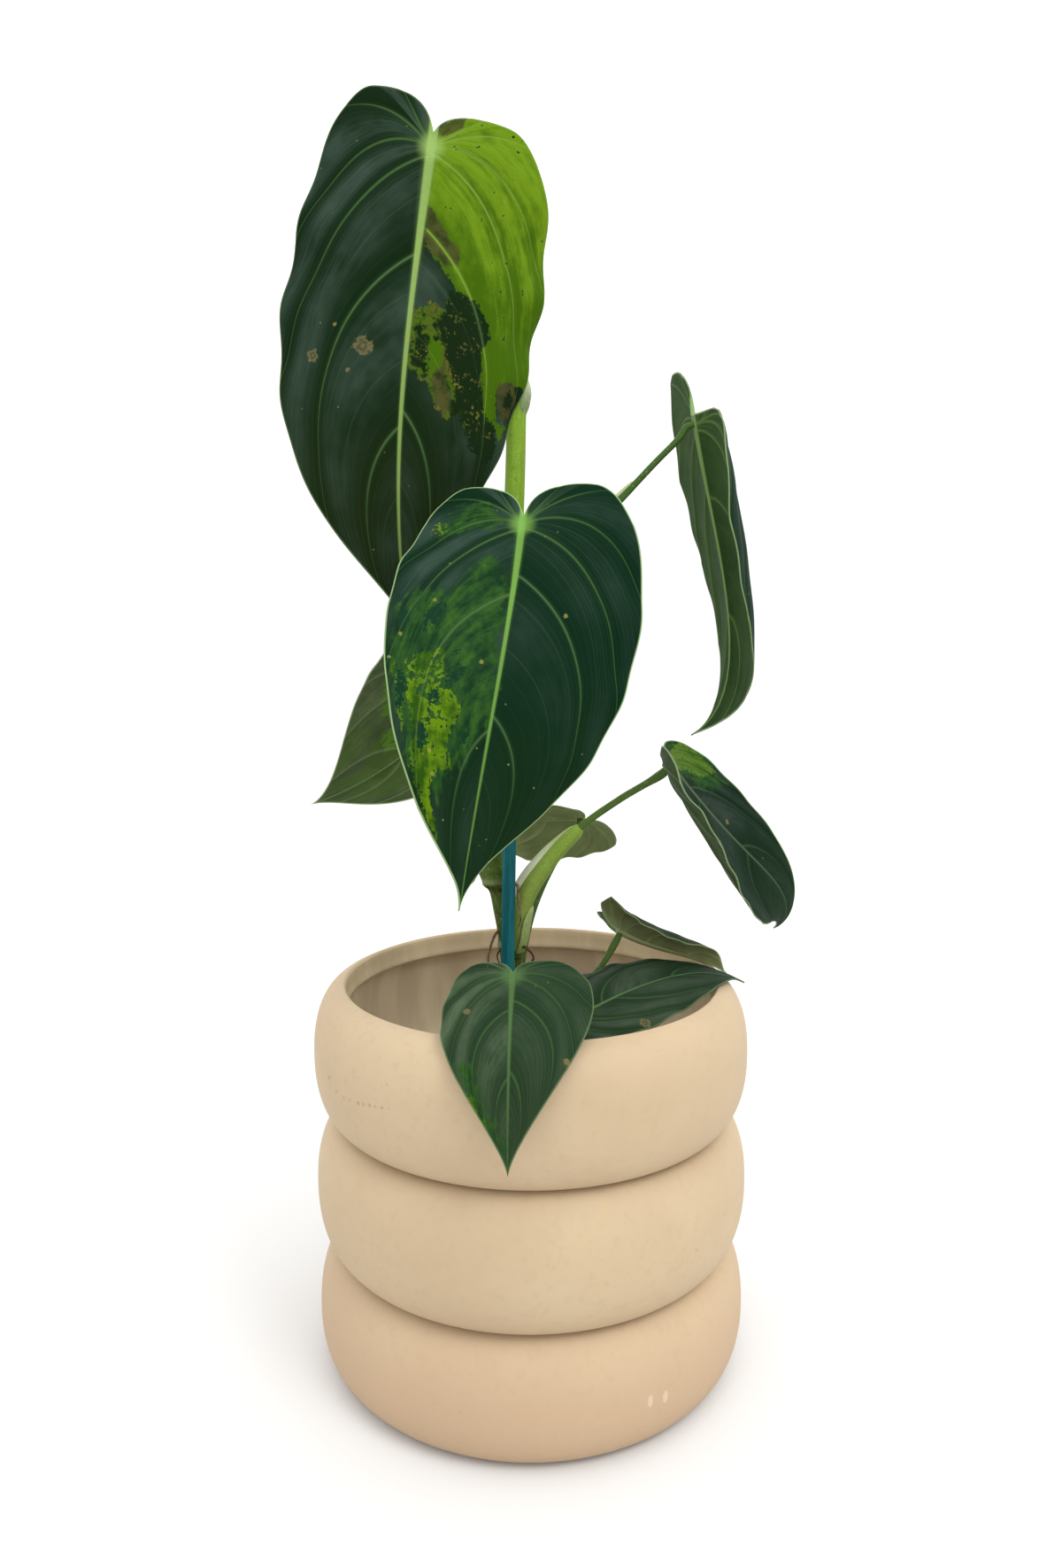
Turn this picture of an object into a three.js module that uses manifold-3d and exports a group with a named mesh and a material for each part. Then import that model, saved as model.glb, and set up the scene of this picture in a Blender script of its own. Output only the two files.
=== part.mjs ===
// Potted variegated Philodendron melanochrysum, in millimetres, +Z up
// The origin is the centre of the pot's underside, and the viewer stands on the -Y side
import * as THREE from 'three';
import { mergeVertices } from 'three/addons/utils/BufferGeometryUtils.js';
import Module from 'manifold-3d';

const manifoldLibrary = await Module();
manifoldLibrary.setup();
const { Manifold, Mesh: SolidMesh } = manifoldLibrary;

// Cover pot: three stacked rings of slip-cast ceramic with one even wall
const potRadius = 100;
const ringHeight = 61;
const ringCount = 3;
const ringBulge = 16;
const ringSquareness = 2.3;
const potBottomCut = 7;
const potFootRadius = 87;
const potWall = 7;
const potFloor = 8;
const lipBand = 9;
const lipCrest = 1.5;
const potSides = 36;
const ringFacets = 8;
const potHeight = ringHeight * ringCount - potBottomCut;
const openingRadius = potRadius - ringBulge;

// Touching pieces stay this far apart
const seatGap = 0.3;

// Nursery pot hidden inside the cover pot
const nurseryBaseRadius = 54;
const nurseryTopRadius = 73;
const nurseryRimRadius = 76;
const nurseryHeight = 112;
const nurseryRimHeight = 6;
const nurseryWall = 1.4;
const nurserySides = 32;
const drainHoles = 5;
const drainHoleRadius = 4.5;
const drainRing = 34;
const nurseryBottom = potFloor + seatGap;

// Bark and perlite substrate in the nursery pot
const soilDrop = 8;
const soilHump = 3;
const soilWave = 1.2;
const soilTop = nurseryBottom + nurseryHeight - soilDrop;

// Blades
const bladeThickness = 0.8;
const midribThickness = 1.8;
const fanEnd = 0.16;
const sinusDepth = 0.03;
const lobeReach = 0.22;
const waveCount = 5.5;
const midribSteps = 48;
const basicBlade = {
  fullness: 0.45, tipSlimness: 0.08, arch: [0.2, 0.1], hook: 0, sway: [0, 0], twist: 0, wave: 1.2,
};
const basicHalf = {
  width: 0.31, widestAt: 0.27, lobe: 0.1, lobeTopAt: 0.5, fold: 0.1, curl: 0.4, droop: 0.3,
};

// Each leaf hangs from the junction of petiole and blade
// tipward points along the midrib, facing is the normal of the upper face
// widths, lobes and places along the midrib are fractions of the length, angles are in radians
const leaves = {
  top: {
    junction: [-39.6, -33, 525.2], tipward: [-0.156, 0.054, -0.986], facing: [0.01, -1, -0.06], length: 192,
    arch: [-0.1, -0.01], sway: [-0.055, 0.37], twist: 0.34, fullness: 0.59, wave: 1.8, ribs: 16, bays: 5,
    left: { width: 0.28, widestAt: 0.356, lobe: 0.107, fold: 0.015, curl: 0.48 },
    right: { width: 0.318, widestAt: 0.272, lobe: 0.078, fold: 0.09, curl: 0.71 },
    petiole: {
      base: [-6.6, 7, 436], via: [[-5, 11, 462], [-12, 13, 500], [-32, -2, 527]], radii: [3.7, 2.4, 2, 1.8],
    },
  },
  front: {
    junction: [-3.5, -55, 376.5], tipward: [-0.091, -0.549, -0.831], facing: [-0.111, -0.821, 0.56],
    length: 157.6, arch: [0.182, 0.575], sway: [-0.19, -0.036], twist: 1.149, fullness: 0.734,
    tipSlimness: 0.044, wave: 1.4, ribs: 16, bays: 5,
    left: { width: 0.289, lobe: 0.121, fold: -0.089, curl: 0.238 },
    right: { width: 0.326, widestAt: 0.284, lobe: 0.139, fold: -0.016, curl: 0.117 },
    petiole: { base: [-12.5, 2, 303], via: [[-9, -16, 328], [-3, -36, 360]], radii: [3.8, 2.8, 1.9, 1.7] },
  },
  right_high: {
    junction: [74, 5, 426], tipward: [0.212, 0.063, -0.975], facing: [0.97, 0.11, 0.217], length: 152,
    arch: [-0.317, 0.676], hook: 0.986, sway: [0.146, 0.32], twist: -0.135, fullness: 0.56,
    tipSlimness: 0.05, wave: 0.5, ribs: 16, bays: 5,
    left: { width: 0.288, widestAt: 0.3, lobe: 0.03, lobeTopAt: 0.24, fold: -0.49, curl: 1.22, droop: -0.6 },
    right: { width: 0.267, widestAt: 0.26, lobe: 0.17, fold: -0.013, curl: 0.157, droop: 0.1 },
    petiole: {
      base: [-11, 1, 324], via: [[15.5, 0, 371], [38.2, 3, 391.8], [54.9, 3.5, 409.1], [66, 4.4, 420.4]],
      radii: [3.6, 3.3, 3, 2.9, 2.5, 1.5, 1.45, 1.5],
    },
  },
  right_low: {
    junction: [61.2, -20, 278], tipward: [0.553, 0.503, -0.664], facing: [0.447, -0.427, 0.786],
    length: 119.7, arch: [-0.029, -0.411], hook: 2.158, sway: [-0.185, -0.174], twist: -0.609,
    fullness: 0.558, tipSlimness: 0.5, wave: 0.5, ribs: 16, bays: 5,
    left: { width: 0.359, lobe: 0.17, fold: 0.267, curl: -0.914, droop: -1.3 },
    right: {
      width: 0.207, widestAt: 0.26, lobe: 0.035, lobeTopAt: 0.24, fold: 0.007, curl: -0.594, droop: 1.2,
    },
    petiole: {
      base: [-7.5, 0, 186],
      via: [[-4.6, -3, 194], [-1.6, -5, 212.6], [8.4, -8, 231], [22.6, -12, 248.3], [39.3, -15, 261.2]],
      radii: [2.4, 3.9, 4.1, 3.7, 3.3, 1.9, 1.6, 1.6, 1.6], channel: 0.35,
    },
  },
  left_back: {
    junction: [-18.7, 35, 328], tipward: [-0.46, 0.19, -0.87], facing: [0.28, 0.91, 0.31], length: 127,
    arch: [0.04, 0.1], sway: [0.74, 0], fullness: 0.6, ribs: 12, bays: 4,
    left: { width: 0.22, curl: 0.3 },
    right: { width: 0.335, curl: 0.3 },
    petiole: { base: [-17, 4, 262], via: [[-21, 14, 290], [-21.5, 19, 318]], radii: [3.4, 2.2, 1.7, 1.6] },
  },
  back: {
    junction: [23.7, 30, 246], tipward: [-0.93, 0.37, -0.05], facing: [0, 0.72, 0.69], length: 79,
    ribs: 12, bays: 4,
    left: { width: 0.373, widestAt: 0.325, lobe: 0.204, fold: 0.05, curl: 0.3 },
    right: { width: 0.373, widestAt: 0.325, lobe: 0.06, fold: 0.3, curl: 0.3 },
    petiole: { base: [-8, 5, 166], via: [[1, 12, 205], [13, 20, 229]], radii: [2.6, 2, 1.7, 1.5] },
  },
  rim: {
    junction: [-7.5, -67, 196.5], tipward: [-0.03, -0.87, -0.49], facing: [-0.07, -0.49, 0.87], length: 81,
    arch: [0.5, 0.32], sway: [-0.02, 0], twist: -0.015, fullness: 0.35, wave: 0.8, ribs: 12, bays: 4,
    left: { width: 0.345, lobe: 0.108, fold: 0.02, curl: 0.14 },
    right: { width: 0.405, widestAt: 0.15, lobe: 0.112, fold: 0.02, curl: 0.14 },
    petiole: {
      base: [-10, 0, 133], via: [[-3, -13, 144], [-4, -36, 167], [-6.5, -54, 183]],
      radii: [2.4, 1.8, 1.6, 1.5, 1.4],
    },
  },
  opening: {
    junction: [18, -48, 172], tipward: [0.82, 0.48, 0.31], facing: [-0.38, -0.45, 0.81], length: 102,
    arch: [0.27, 0.59], sway: [-0.05, 0], wave: 0.8, ribs: 12, bays: 4,
    left: { width: 0.233, fold: -0.05, curl: 0.4 },
    right: { width: 0.309, fold: 0.02, curl: 0.4 },
    petiole: {
      base: [-10, 1, 126], via: [[3, -12, 135], [12, -30, 147], [18, -41, 158]], radii: [2.4, 1.8, 1.5, 1.4],
    },
  },
  rim_back: {
    junction: [43, 13, 193.8], tipward: [0.878, 0.007, -0.479], facing: [0.468, 0.42, 0.778], length: 61.5,
    fullness: 0.478, arch: [-0.95, 0.976], sway: [0.17, 0.337], twist: -0.271, wave: 0.4, ribs: 12, bays: 5,
    left: { width: 0.359, lobe: 0.354, lobeTopAt: 0.557, fold: -1.108, curl: 1.895, droop: -0.457 },
    right: { width: 0.346, lobe: 0.2, fold: -0.573, curl: 0.205, droop: 0.1 },
    petiole: { base: [-9, 4, 128], via: [[6, 5, 150], [32, 6, 177]], radii: [2.4, 1.8, 1.5, 1.4, 1.3] },
  },
};

// Stem with its thicker nodes and the thick roots at its foot
const stemRoute = [
  [-9.5, 3, 70], [-9.3, 3, 125], [-9.3, 3, 184], [-10.8, 2.2, 197], [-12.6, 1.6, 207], [-14.6, 1.2, 217],
  [-17.4, 1, 225], [-18.2, 1, 233], [-16.5, 2, 262], [-13, 2, 300], [-10, 2, 340], [-8, 5, 380],
  [-6.9, 6.5, 410], [-6.3, 7, 441],
];
const stemRadii = [4.6, 4.8, 5, 5, 4.8, 4.8, 4.8, 4.8, 4.6, 4.4, 4.2];
const stemNodes = [152, 190, 225, 262, 303, 324, 436];
const nodeSwell = 0.9;
const nodeHalfHeight = 3;
const budRoute = [[-6, 6.5, 438], [-3, 5.4, 439.2], [-0.8, 4.8, 440.2], [0.3, 4.5, 440.6]];
const budRadii = [4, 3.6, 2.6, 1.1];
const soilRoots = 5;
const soilRootReach = 30;
const soilRootDrop = 26;
const soilRootRadius = 1.6;

// Square wooden plant stake, leaning slightly
const stakeFoot = [-13, -13, 25];
const stakeHead = [-8.8, -11, 302];
const stakeWidth = 6;

// Aerial roots, each from a node of the stem
const rootTaper = [1, 1, 0.7];
const aerialRoots = {
  left: {
    radius: 0.5,
    route: [
      [-19, 0.5, 226.5], [-23, -1, 226.6], [-25.3, -2.2, 223.3], [-27.1, -3, 220.6], [-29.9, -3.5, 219.6],
    ],
  },
  low: {
    radius: 0.9,
    route: [
      [-13, 1, 199], [-16.4, -2, 196.4], [-18.8, -4.5, 190.8], [-20, -6, 185.7], [-19.2, -6, 181],
      [-21, -8, 140], [-23, -9, 95],
    ],
  },
  front: {
    radius: 0.9,
    route: [[-13, 2, 221], [-6, -7.5, 221], [-5.6, -11, 217], [-5, -13.5, 211], [-5, -14, 206]],
  },
};

const colours = {
  ceramic: 0xe3c7aa, nursery: 0x2c2b2a, substrate: 0x4a3626, stem: 0x6f9a45, petiole: 0x7ba544,
  blade: 0x1f4a33, bladeLime: 0x8ea63a, stake: 0x1c6f7d, root: 0x5a4330,
};

// Helpers
const vector = (list) => new THREE.Vector3(...list);
const clamp = THREE.MathUtils.clamp;

function solidFrom(vertices, faces) {
  return new Manifold(new SolidMesh({
    numProp: 3,
    vertProperties: new Float32Array(vertices.flatMap((v) => [v.x, v.y, v.z])),
    triVerts: new Uint32Array(faces.flat()),
  }));
}

function geometryOfSolid(solid) {
  const mesh = solid.getMesh();
  const geometry = new THREE.BufferGeometry();
  const positions = [];
  for (let i = 0; i < mesh.numVert; i += 1) {
    positions.push(...mesh.vertProperties.slice(i * mesh.numProp, i * mesh.numProp + 3));
  }
  geometry.setAttribute('position', new THREE.Float32BufferAttribute(positions, 3));
  geometry.setIndex(Array.from(mesh.triVerts));
  return geometry;
}

// Welded solid of a three.js geometry, without its collapsed faces
function solidOfGeometry(geometry) {
  const bare = new THREE.BufferGeometry();
  bare.setAttribute('position', geometry.getAttribute('position').clone());
  if (geometry.index) {
    bare.setIndex(geometry.index.clone());
  }
  const welded = mergeVertices(bare, 1e-4);
  const places = welded.getAttribute('position');
  const vertices = [];
  for (let i = 0; i < places.count; i += 1) {
    vertices.push(new THREE.Vector3().fromBufferAttribute(places, i));
  }
  const faces = [];
  for (let i = 0; i < welded.index.count; i += 3) {
    const face = [welded.index.getX(i), welded.index.getX(i + 1), welded.index.getX(i + 2)];
    if (new Set(face).size === 3) {
      faces.push(face);
    }
  }
  return solidFrom(vertices, faces);
}

// Turned body about the upright axis, from an outline of radius and height
function turnedGeometry(outline, sides) {
  const points = outline.map(([radius, z]) => new THREE.Vector2(radius, z));
  return new THREE.LatheGeometry(points, sides).rotateX(Math.PI / 2);
}

function largestPiece(solid) {
  return solid.decompose().sort((a, b) => b.volume() - a.volume())[0];
}

// Rings of equal point count joined into one closed body
function loftParts(rings) {
  const count = rings[0].length;
  const vertices = rings.flat();
  const faces = [];
  for (let r = 0; r + 1 < rings.length; r += 1) {
    for (let k = 0; k < count; k += 1) {
      const a = r * count + k;
      const b = r * count + ((k + 1) % count);
      faces.push([a, b, b + count], [a, b + count, a + count]);
    }
  }
  const centreOf = (ring) => ring.reduce((sum, p) => sum.add(p), new THREE.Vector3()).divideScalar(count);
  vertices.push(centreOf(rings[0]), centreOf(rings[rings.length - 1]));
  const last = (rings.length - 1) * count;
  for (let k = 0; k < count; k += 1) {
    const next = (k + 1) % count;
    faces.push([vertices.length - 2, next, k], [vertices.length - 1, last + k, last + next]);
  }
  return { vertices, faces };
}

// Tube along a smooth route with its own radius at every stretch
function tubeParts(route, radii, { sides = 8, steps = 12, grow = 0, channel = 0 } = {}) {
  const curve = new THREE.CatmullRomCurve3(route.map(vector), false, 'centripetal');
  const frames = curve.computeFrenetFrames(steps, false);
  const rings = [];
  for (let i = 0; i <= steps; i += 1) {
    const along = i / steps;
    const centre = curve.getPointAt(along);
    const place = along * (radii.length - 1);
    const index = Math.min(Math.floor(place), radii.length - 2);
    const radius = THREE.MathUtils.lerp(radii[index], radii[index + 1], place - index) + grow;
    const ring = [];
    for (let k = 0; k < sides; k += 1) {
      const angle = (k / sides) * 2 * Math.PI;
      const inner = Math.max(0, Math.cos(angle)) ** 4;
      const reach = radius * (1 - channel * inner);
      ring.push(centre.clone()
        .addScaledVector(frames.normals[i], Math.cos(angle) * reach)
        .addScaledVector(frames.binormals[i], Math.sin(angle) * reach));
    }
    rings.push(ring);
  }
  return loftParts(rings);
}

function tubeSolid(route, radii, options) {
  const { vertices, faces } = tubeParts(route, radii, options);
  return solidFrom(vertices, faces);
}

// Half of the flat heart outline, from the sinus over the lobe to the drip tip
function halfOutline(leaf, half, count) {
  const length = leaf.length;
  const width = half.width * length;
  const lobe = half.lobe * length;
  const widest = half.widestAt * length;
  const sinus = sinusDepth * length;
  const lobeTop = half.lobeTopAt * width;
  const point = (x, y) => new THREE.Vector2(x, y);
  const path = new THREE.CurvePath();
  path.add(new THREE.CubicBezierCurve(
    point(0, -sinus), point(0.06 * width, -sinus - 0.75 * (lobe - sinus)),
    point(lobeTop - 0.28 * width, -lobe), point(lobeTop, -lobe),
  ));
  path.add(new THREE.CubicBezierCurve(
    point(lobeTop, -lobe), point(lobeTop + 0.55 * (width - lobeTop), -lobe),
    point(width, widest - 0.5 * (widest + lobe)), point(width, widest),
  ));
  path.add(new THREE.CubicBezierCurve(
    point(width, widest), point(width, widest + leaf.fullness * (length - widest)),
    point(leaf.tipSlimness * width, length - 0.22 * (length - widest)), point(0, length),
  ));
  return path.getSpacedPoints(count);
}

// Midrib in space: positions and frames from behind the junction to the tip
function midribOf(leaf, half) {
  const tipward = vector(leaf.tipward).normalize();
  const facing = vector(leaf.facing);
  facing.addScaledVector(tipward, -facing.dot(tipward)).normalize();
  const across = new THREE.Vector3().crossVectors(facing, tipward);
  const step = leaf.length / midribSteps;
  const stations = [];
  const place = vector(leaf.junction);
  for (let i = 0; i <= midribSteps; i += 1) {
    const q = i / midribSteps;
    const bend = leaf.arch[0] * q + leaf.arch[1] * q * q + leaf.hook * q ** 8;
    const sway = leaf.sway[0] * q + leaf.sway[1] * q * q;
    const twist = leaf.twist * q;
    const flat = tipward.clone().multiplyScalar(Math.cos(sway)).addScaledVector(across, Math.sin(sway));
    const along = flat.multiplyScalar(Math.cos(bend)).addScaledVector(facing, -Math.sin(bend));
    const side = across.clone().multiplyScalar(Math.cos(sway)).addScaledVector(tipward, -Math.sin(sway));
    const up = new THREE.Vector3().crossVectors(along, side);
    const sideTurned = side.clone().multiplyScalar(Math.cos(twist)).addScaledVector(up, -Math.sin(twist));
    const upTurned = up.clone().multiplyScalar(Math.cos(twist)).addScaledVector(side, Math.sin(twist));
    if (i > 0) {
      place.addScaledVector(along.clone().add(stations[i - 1].along).multiplyScalar(0.5), step);
    }
    stations.push({ y: q * leaf.length, place: place.clone(), along, side: sideTurned, up: upTurned });
  }
  // Behind the junction each lobe bends on its own
  const backSteps = 12;
  const backStep = (lobeReach * 1.3 * leaf.length) / backSteps;
  const back = vector(leaf.junction);
  const behind = [];
  for (let i = 1; i <= backSteps; i += 1) {
    const y = -i * backStep;
    const past = Math.max(0, -y / leaf.length - sinusDepth) / lobeReach;
    const droop = half.droop * past;
    const along = tipward.clone().multiplyScalar(Math.cos(droop)).addScaledVector(facing, Math.sin(droop));
    back.addScaledVector(along, -backStep);
    const up = new THREE.Vector3().crossVectors(along, across);
    behind.unshift({ y, place: back.clone(), along, side: across, up });
  }
  return [...behind, ...stations];
}

function stationAt(stations, y) {
  let i = 0;
  while (i < stations.length - 2 && stations[i + 1].y < y) {
    i += 1;
  }
  const share = clamp((y - stations[i].y) / (stations[i + 1].y - stations[i].y), 0, 1);
  const mix = (key) => stations[i][key].clone().lerp(stations[i + 1][key], share);
  return { place: mix('place'), side: mix('side').normalize(), up: mix('up').normalize() };
}

// Point of the blade over the flat spot x, y, raised along the blade's normal
function bladePoint(leaf, half, sign, stations, spot, raise) {
  const width = half.width * leaf.length;
  const q = spot.x / width;
  const turn = half.fold + half.curl * q;
  const reach = (width / half.curl) * (Math.sin(turn) - Math.sin(half.fold));
  const drop = (width / half.curl) * (Math.cos(half.fold) - Math.cos(turn));
  const station = stationAt(stations, spot.y);
  const phase = (spot.y / leaf.length) * waveCount * 2 * Math.PI + (sign > 0 ? 0 : 2.1);
  const ripple = leaf.wave * Math.sin(phase) * q ** 3;
  const tilt = q === 0 ? 0 : turn;
  const normal = station.up.clone().multiplyScalar(Math.cos(tilt))
    .addScaledVector(station.side, sign * Math.sin(tilt));
  return station.place.clone()
    .addScaledVector(station.side, sign * reach)
    .addScaledVector(station.up, -drop)
    .addScaledVector(normal, ripple + raise);
}

// Closed blade: ribs fan out from the junction, then leave the midrib one after another
function bladeParts(leaf, grow = 0) {
  const vertices = [];
  const known = new Map();
  const faces = [];
  const vertexAt = (half, sign, stations, spot, layer) => {
    const across = spot.x < 1e-6 ? 0 : sign * spot.x;
    const key = `${across.toFixed(3)},${spot.y.toFixed(3)},${layer}`;
    if (!known.has(key)) {
      const q = clamp(spot.x / (half.width * leaf.length), 0, 1);
      const slim = 1 - clamp(spot.y / leaf.length, 0, 1) ** 2;
      const rib = (midribThickness - bladeThickness) * Math.max(0, 1 - q * 5) * slim;
      const raise = layer > 0 ? bladeThickness / 2 + grow : -bladeThickness / 2 - grow - rib;
      known.set(key, vertices.length);
      vertices.push(bladePoint(leaf, half, sign, stations, spot, raise));
    }
    return known.get(key);
  };
  const addFace = (a, b, c, flip) => {
    if (a !== b && b !== c && a !== c) {
      faces.push(flip ? [a, c, b] : [a, b, c]);
    }
  };
  const rims = {
    left: halfOutline(leaf, leaf.left, leaf.ribs),
    right: halfOutline(leaf, leaf.right, leaf.ribs),
  };
  for (const [name, sign] of [['left', -1], ['right', 1]]) {
    const half = leaf[name];
    const stations = midribOf(leaf, half);
    const grid = rims[name].map((edge, i) => {
      // Both halves leave the midrib at the same places
      const level = (rims.left[i].y + rims.right[i].y) / 2 / leaf.length;
      const share = Math.max(0, (level - fanEnd) / (1 - fanEnd));
      const start = new THREE.Vector2(0, share * leaf.length);
      const knee = new THREE.Vector2(0.55 * edge.x, start.y + 0.15 * (edge.y - start.y));
      const rib = new THREE.QuadraticBezierCurve(start, knee, edge);
      const spots = [];
      for (let j = 0; j <= leaf.bays; j += 1) {
        spots.push(i === leaf.ribs ? edge : rib.getPoint(j / leaf.bays));
      }
      return spots;
    });
    for (let i = 0; i < leaf.ribs; i += 1) {
      for (let j = 0; j < leaf.bays; j += 1) {
        for (const layer of [1, -1]) {
          const corner = (a, b) => vertexAt(half, sign, stations, grid[a][b], layer);
          const flip = (sign > 0) !== (layer > 0);
          addFace(corner(i, j), corner(i, j + 1), corner(i + 1, j + 1), !flip);
          addFace(corner(i, j), corner(i + 1, j + 1), corner(i + 1, j), !flip);
        }
      }
      const end = leaf.bays;
      const upper = vertexAt(half, sign, stations, grid[i][end], 1);
      const upperNext = vertexAt(half, sign, stations, grid[i + 1][end], 1);
      const lower = vertexAt(half, sign, stations, grid[i][end], -1);
      const lowerNext = vertexAt(half, sign, stations, grid[i + 1][end], -1);
      addFace(upper, lower, lowerNext, sign > 0);
      addFace(upper, lowerNext, upperNext, sign > 0);
    }
  }
  return { vertices, faces };
}

function completeLeaf(leaf) {
  return {
    ...basicBlade,
    ...leaf,
    left: { ...basicHalf, ...leaf.left },
    right: { ...basicHalf, ...leaf.right },
  };
}

// Outline of the pot's outer wall at one height
function potRadiusAt(z) {
  const ring = clamp(Math.floor((z + potBottomCut) / ringHeight), 0, ringCount - 1);
  const middle = ring * ringHeight - potBottomCut + ringHeight / 2;
  if (z < middle && ring === 0) {
    const t = (middle - z) / middle;
    return potFootRadius + (potRadius - potFootRadius) * (1 - t ** ringSquareness) ** (1 / ringSquareness);
  }
  const t = Math.min(1, Math.abs(z - middle) / (ringHeight / 2));
  return openingRadius + ringBulge * (1 - t ** ringSquareness) ** (1 / ringSquareness);
}

function ringHeights(from, to) {
  const heights = [];
  for (let i = 0; i <= ringFacets; i += 1) {
    const t = -Math.cos((i / ringFacets) * Math.PI);
    heights.push(THREE.MathUtils.lerp(from, to, (t + 1) / 2));
  }
  return heights;
}

function coverPotOutline() {
  const outline = [[0, 0], [potFootRadius, 0]];
  for (let ring = 0; ring < ringCount; ring += 1) {
    const from = Math.max(0, ring * ringHeight - potBottomCut);
    const to = (ring + 1) * ringHeight - potBottomCut;
    for (const z of ringHeights(from, to).slice(1)) {
      outline.push([potRadiusAt(z), z]);
    }
  }
  // The rim has a thin rounded crest, then a straight lip band leads to the flared inside
  outline.pop();
  outline.push([openingRadius + 2 * lipCrest, potHeight], [openingRadius + lipCrest, potHeight - 0.4]);
  outline.push([openingRadius + 0.6 * lipCrest, potHeight - 2]);
  outline.push([openingRadius + 0.4 * lipCrest, potHeight - lipBand]);
  for (let ring = ringCount - 1; ring >= 0; ring -= 1) {
    const from = Math.max(potFloor, ring * ringHeight - potBottomCut);
    const to = Math.min((ring + 1) * ringHeight - potBottomCut, potHeight - lipBand - 3);
    for (const z of ringHeights(from, to).reverse().filter((value, i) => i % 2 === 0)) {
      outline.push([potRadiusAt(z) - potWall, z]);
    }
  }
  outline.push([0, potFloor]);
  return outline;
}

// Tapered plastic pot with a stiff rim and drain holes
function nurseryPotSolid() {
  const rimFrom = nurseryHeight - nurseryRimHeight;
  const slope = (nurseryTopRadius - nurseryBaseRadius) / nurseryHeight;
  const wallAt = (height) => nurseryBaseRadius + slope * height;
  const outline = [
    [0, 0], [nurseryBaseRadius, 0], [wallAt(rimFrom), rimFrom], [nurseryRimRadius, rimFrom],
    [nurseryRimRadius, nurseryHeight], [wallAt(nurseryHeight) - nurseryWall, nurseryHeight],
    [nurseryBaseRadius - nurseryWall, nurseryWall], [0, nurseryWall],
  ];
  let pot = solidOfGeometry(turnedGeometry(outline, nurserySides).translate(0, 0, nurseryBottom));
  for (let i = 0; i < drainHoles; i += 1) {
    const angle = (i / drainHoles) * 2 * Math.PI;
    const hole = new THREE.CylinderGeometry(drainHoleRadius, drainHoleRadius, 4 * nurseryWall, 8);
    hole.rotateX(Math.PI / 2);
    hole.translate(drainRing * Math.cos(angle), drainRing * Math.sin(angle), nurseryBottom);
    pot = pot.subtract(solidOfGeometry(hole));
  }
  return pot;
}

function soilHeightAt(x, y) {
  const away = Math.hypot(x, y) / nurseryTopRadius;
  return soilTop + soilHump * (1 - away * away) + soilWave * Math.sin(x / 9) * Math.cos(y / 7);
}

function substrateSolid(standing) {
  const slope = (nurseryTopRadius - nurseryBaseRadius) / nurseryHeight;
  const floor = nurseryBottom + nurseryWall + seatGap;
  const wallAt = (z) => nurseryBaseRadius + slope * (z - nurseryBottom) - nurseryWall - seatGap;
  const outline = [[0, floor], [wallAt(floor) - 1, floor], [wallAt(soilTop), soilTop]];
  for (const share of [0.8, 0.6, 0.4, 0.2, 0]) {
    outline.push([wallAt(soilTop) * share, soilTop]);
  }
  const geometry = turnedGeometry(outline, nurserySides);
  const places = geometry.getAttribute('position');
  for (let i = 0; i < places.count; i += 1) {
    if (places.getZ(i) > soilTop - 0.01) {
      places.setZ(i, soilHeightAt(places.getX(i), places.getY(i)));
    }
  }
  return standing.reduce((body, piece) => body.subtract(piece), solidOfGeometry(geometry));
}

// Stem with its nodes, the bud at its head and the thick roots at its foot
function stemSolid(grow) {
  let stem = tubeSolid(stemRoute, stemRadii, { steps: 18, grow });
  const curve = new THREE.CatmullRomCurve3(stemRoute.map(vector), false, 'centripetal');
  const samples = curve.getSpacedPoints(200);
  for (const height of stemNodes) {
    const i = samples.findIndex((p) => p.z >= height);
    const along = samples[i + 1].clone().sub(samples[i - 1]).normalize();
    const radius = stemRadii[Math.round((i / 200) * (stemRadii.length - 1))];
    const heights = [-nodeHalfHeight, 0, nodeHalfHeight];
    const ring = heights.map((t) => samples[i].clone().addScaledVector(along, t).toArray());
    const swelling = [radius - 0.4, radius + nodeSwell, radius - 0.4];
    stem = stem.add(tubeSolid(ring, swelling, { steps: 4, grow }));
  }
  stem = stem.add(tubeSolid(budRoute, budRadii, { steps: 5, grow }));
  const foot = vector(stemRoute[0]);
  for (let i = 0; i < soilRoots; i += 1) {
    const angle = (i / soilRoots) * 2 * Math.PI + 0.4;
    const knee = [foot.x + 12 * Math.cos(angle), foot.y + 12 * Math.sin(angle), foot.z + 2];
    const reach = [soilRootReach * Math.cos(angle), soilRootReach * Math.sin(angle), -soilRootDrop];
    const end = foot.clone().add(vector(reach)).toArray();
    const route = [[foot.x, foot.y, foot.z + 6], knee, end];
    stem = stem.add(tubeSolid(route, [2.2, soilRootRadius, 1.1], { sides: 6, steps: 5, grow }));
  }
  return stem;
}

function stakeGeometry(grow) {
  const foot = vector(stakeFoot);
  const head = vector(stakeHead);
  const width = stakeWidth + 2 * grow;
  const lean = new THREE.Quaternion().setFromUnitVectors(
    new THREE.Vector3(0, 0, 1), head.clone().sub(foot).normalize(),
  );
  const geometry = new THREE.BoxGeometry(width, width, foot.distanceTo(head) + 2 * grow);
  const centre = foot.add(head).multiplyScalar(0.5);
  return geometry.applyQuaternion(lean).translate(...centre.toArray());
}

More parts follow.
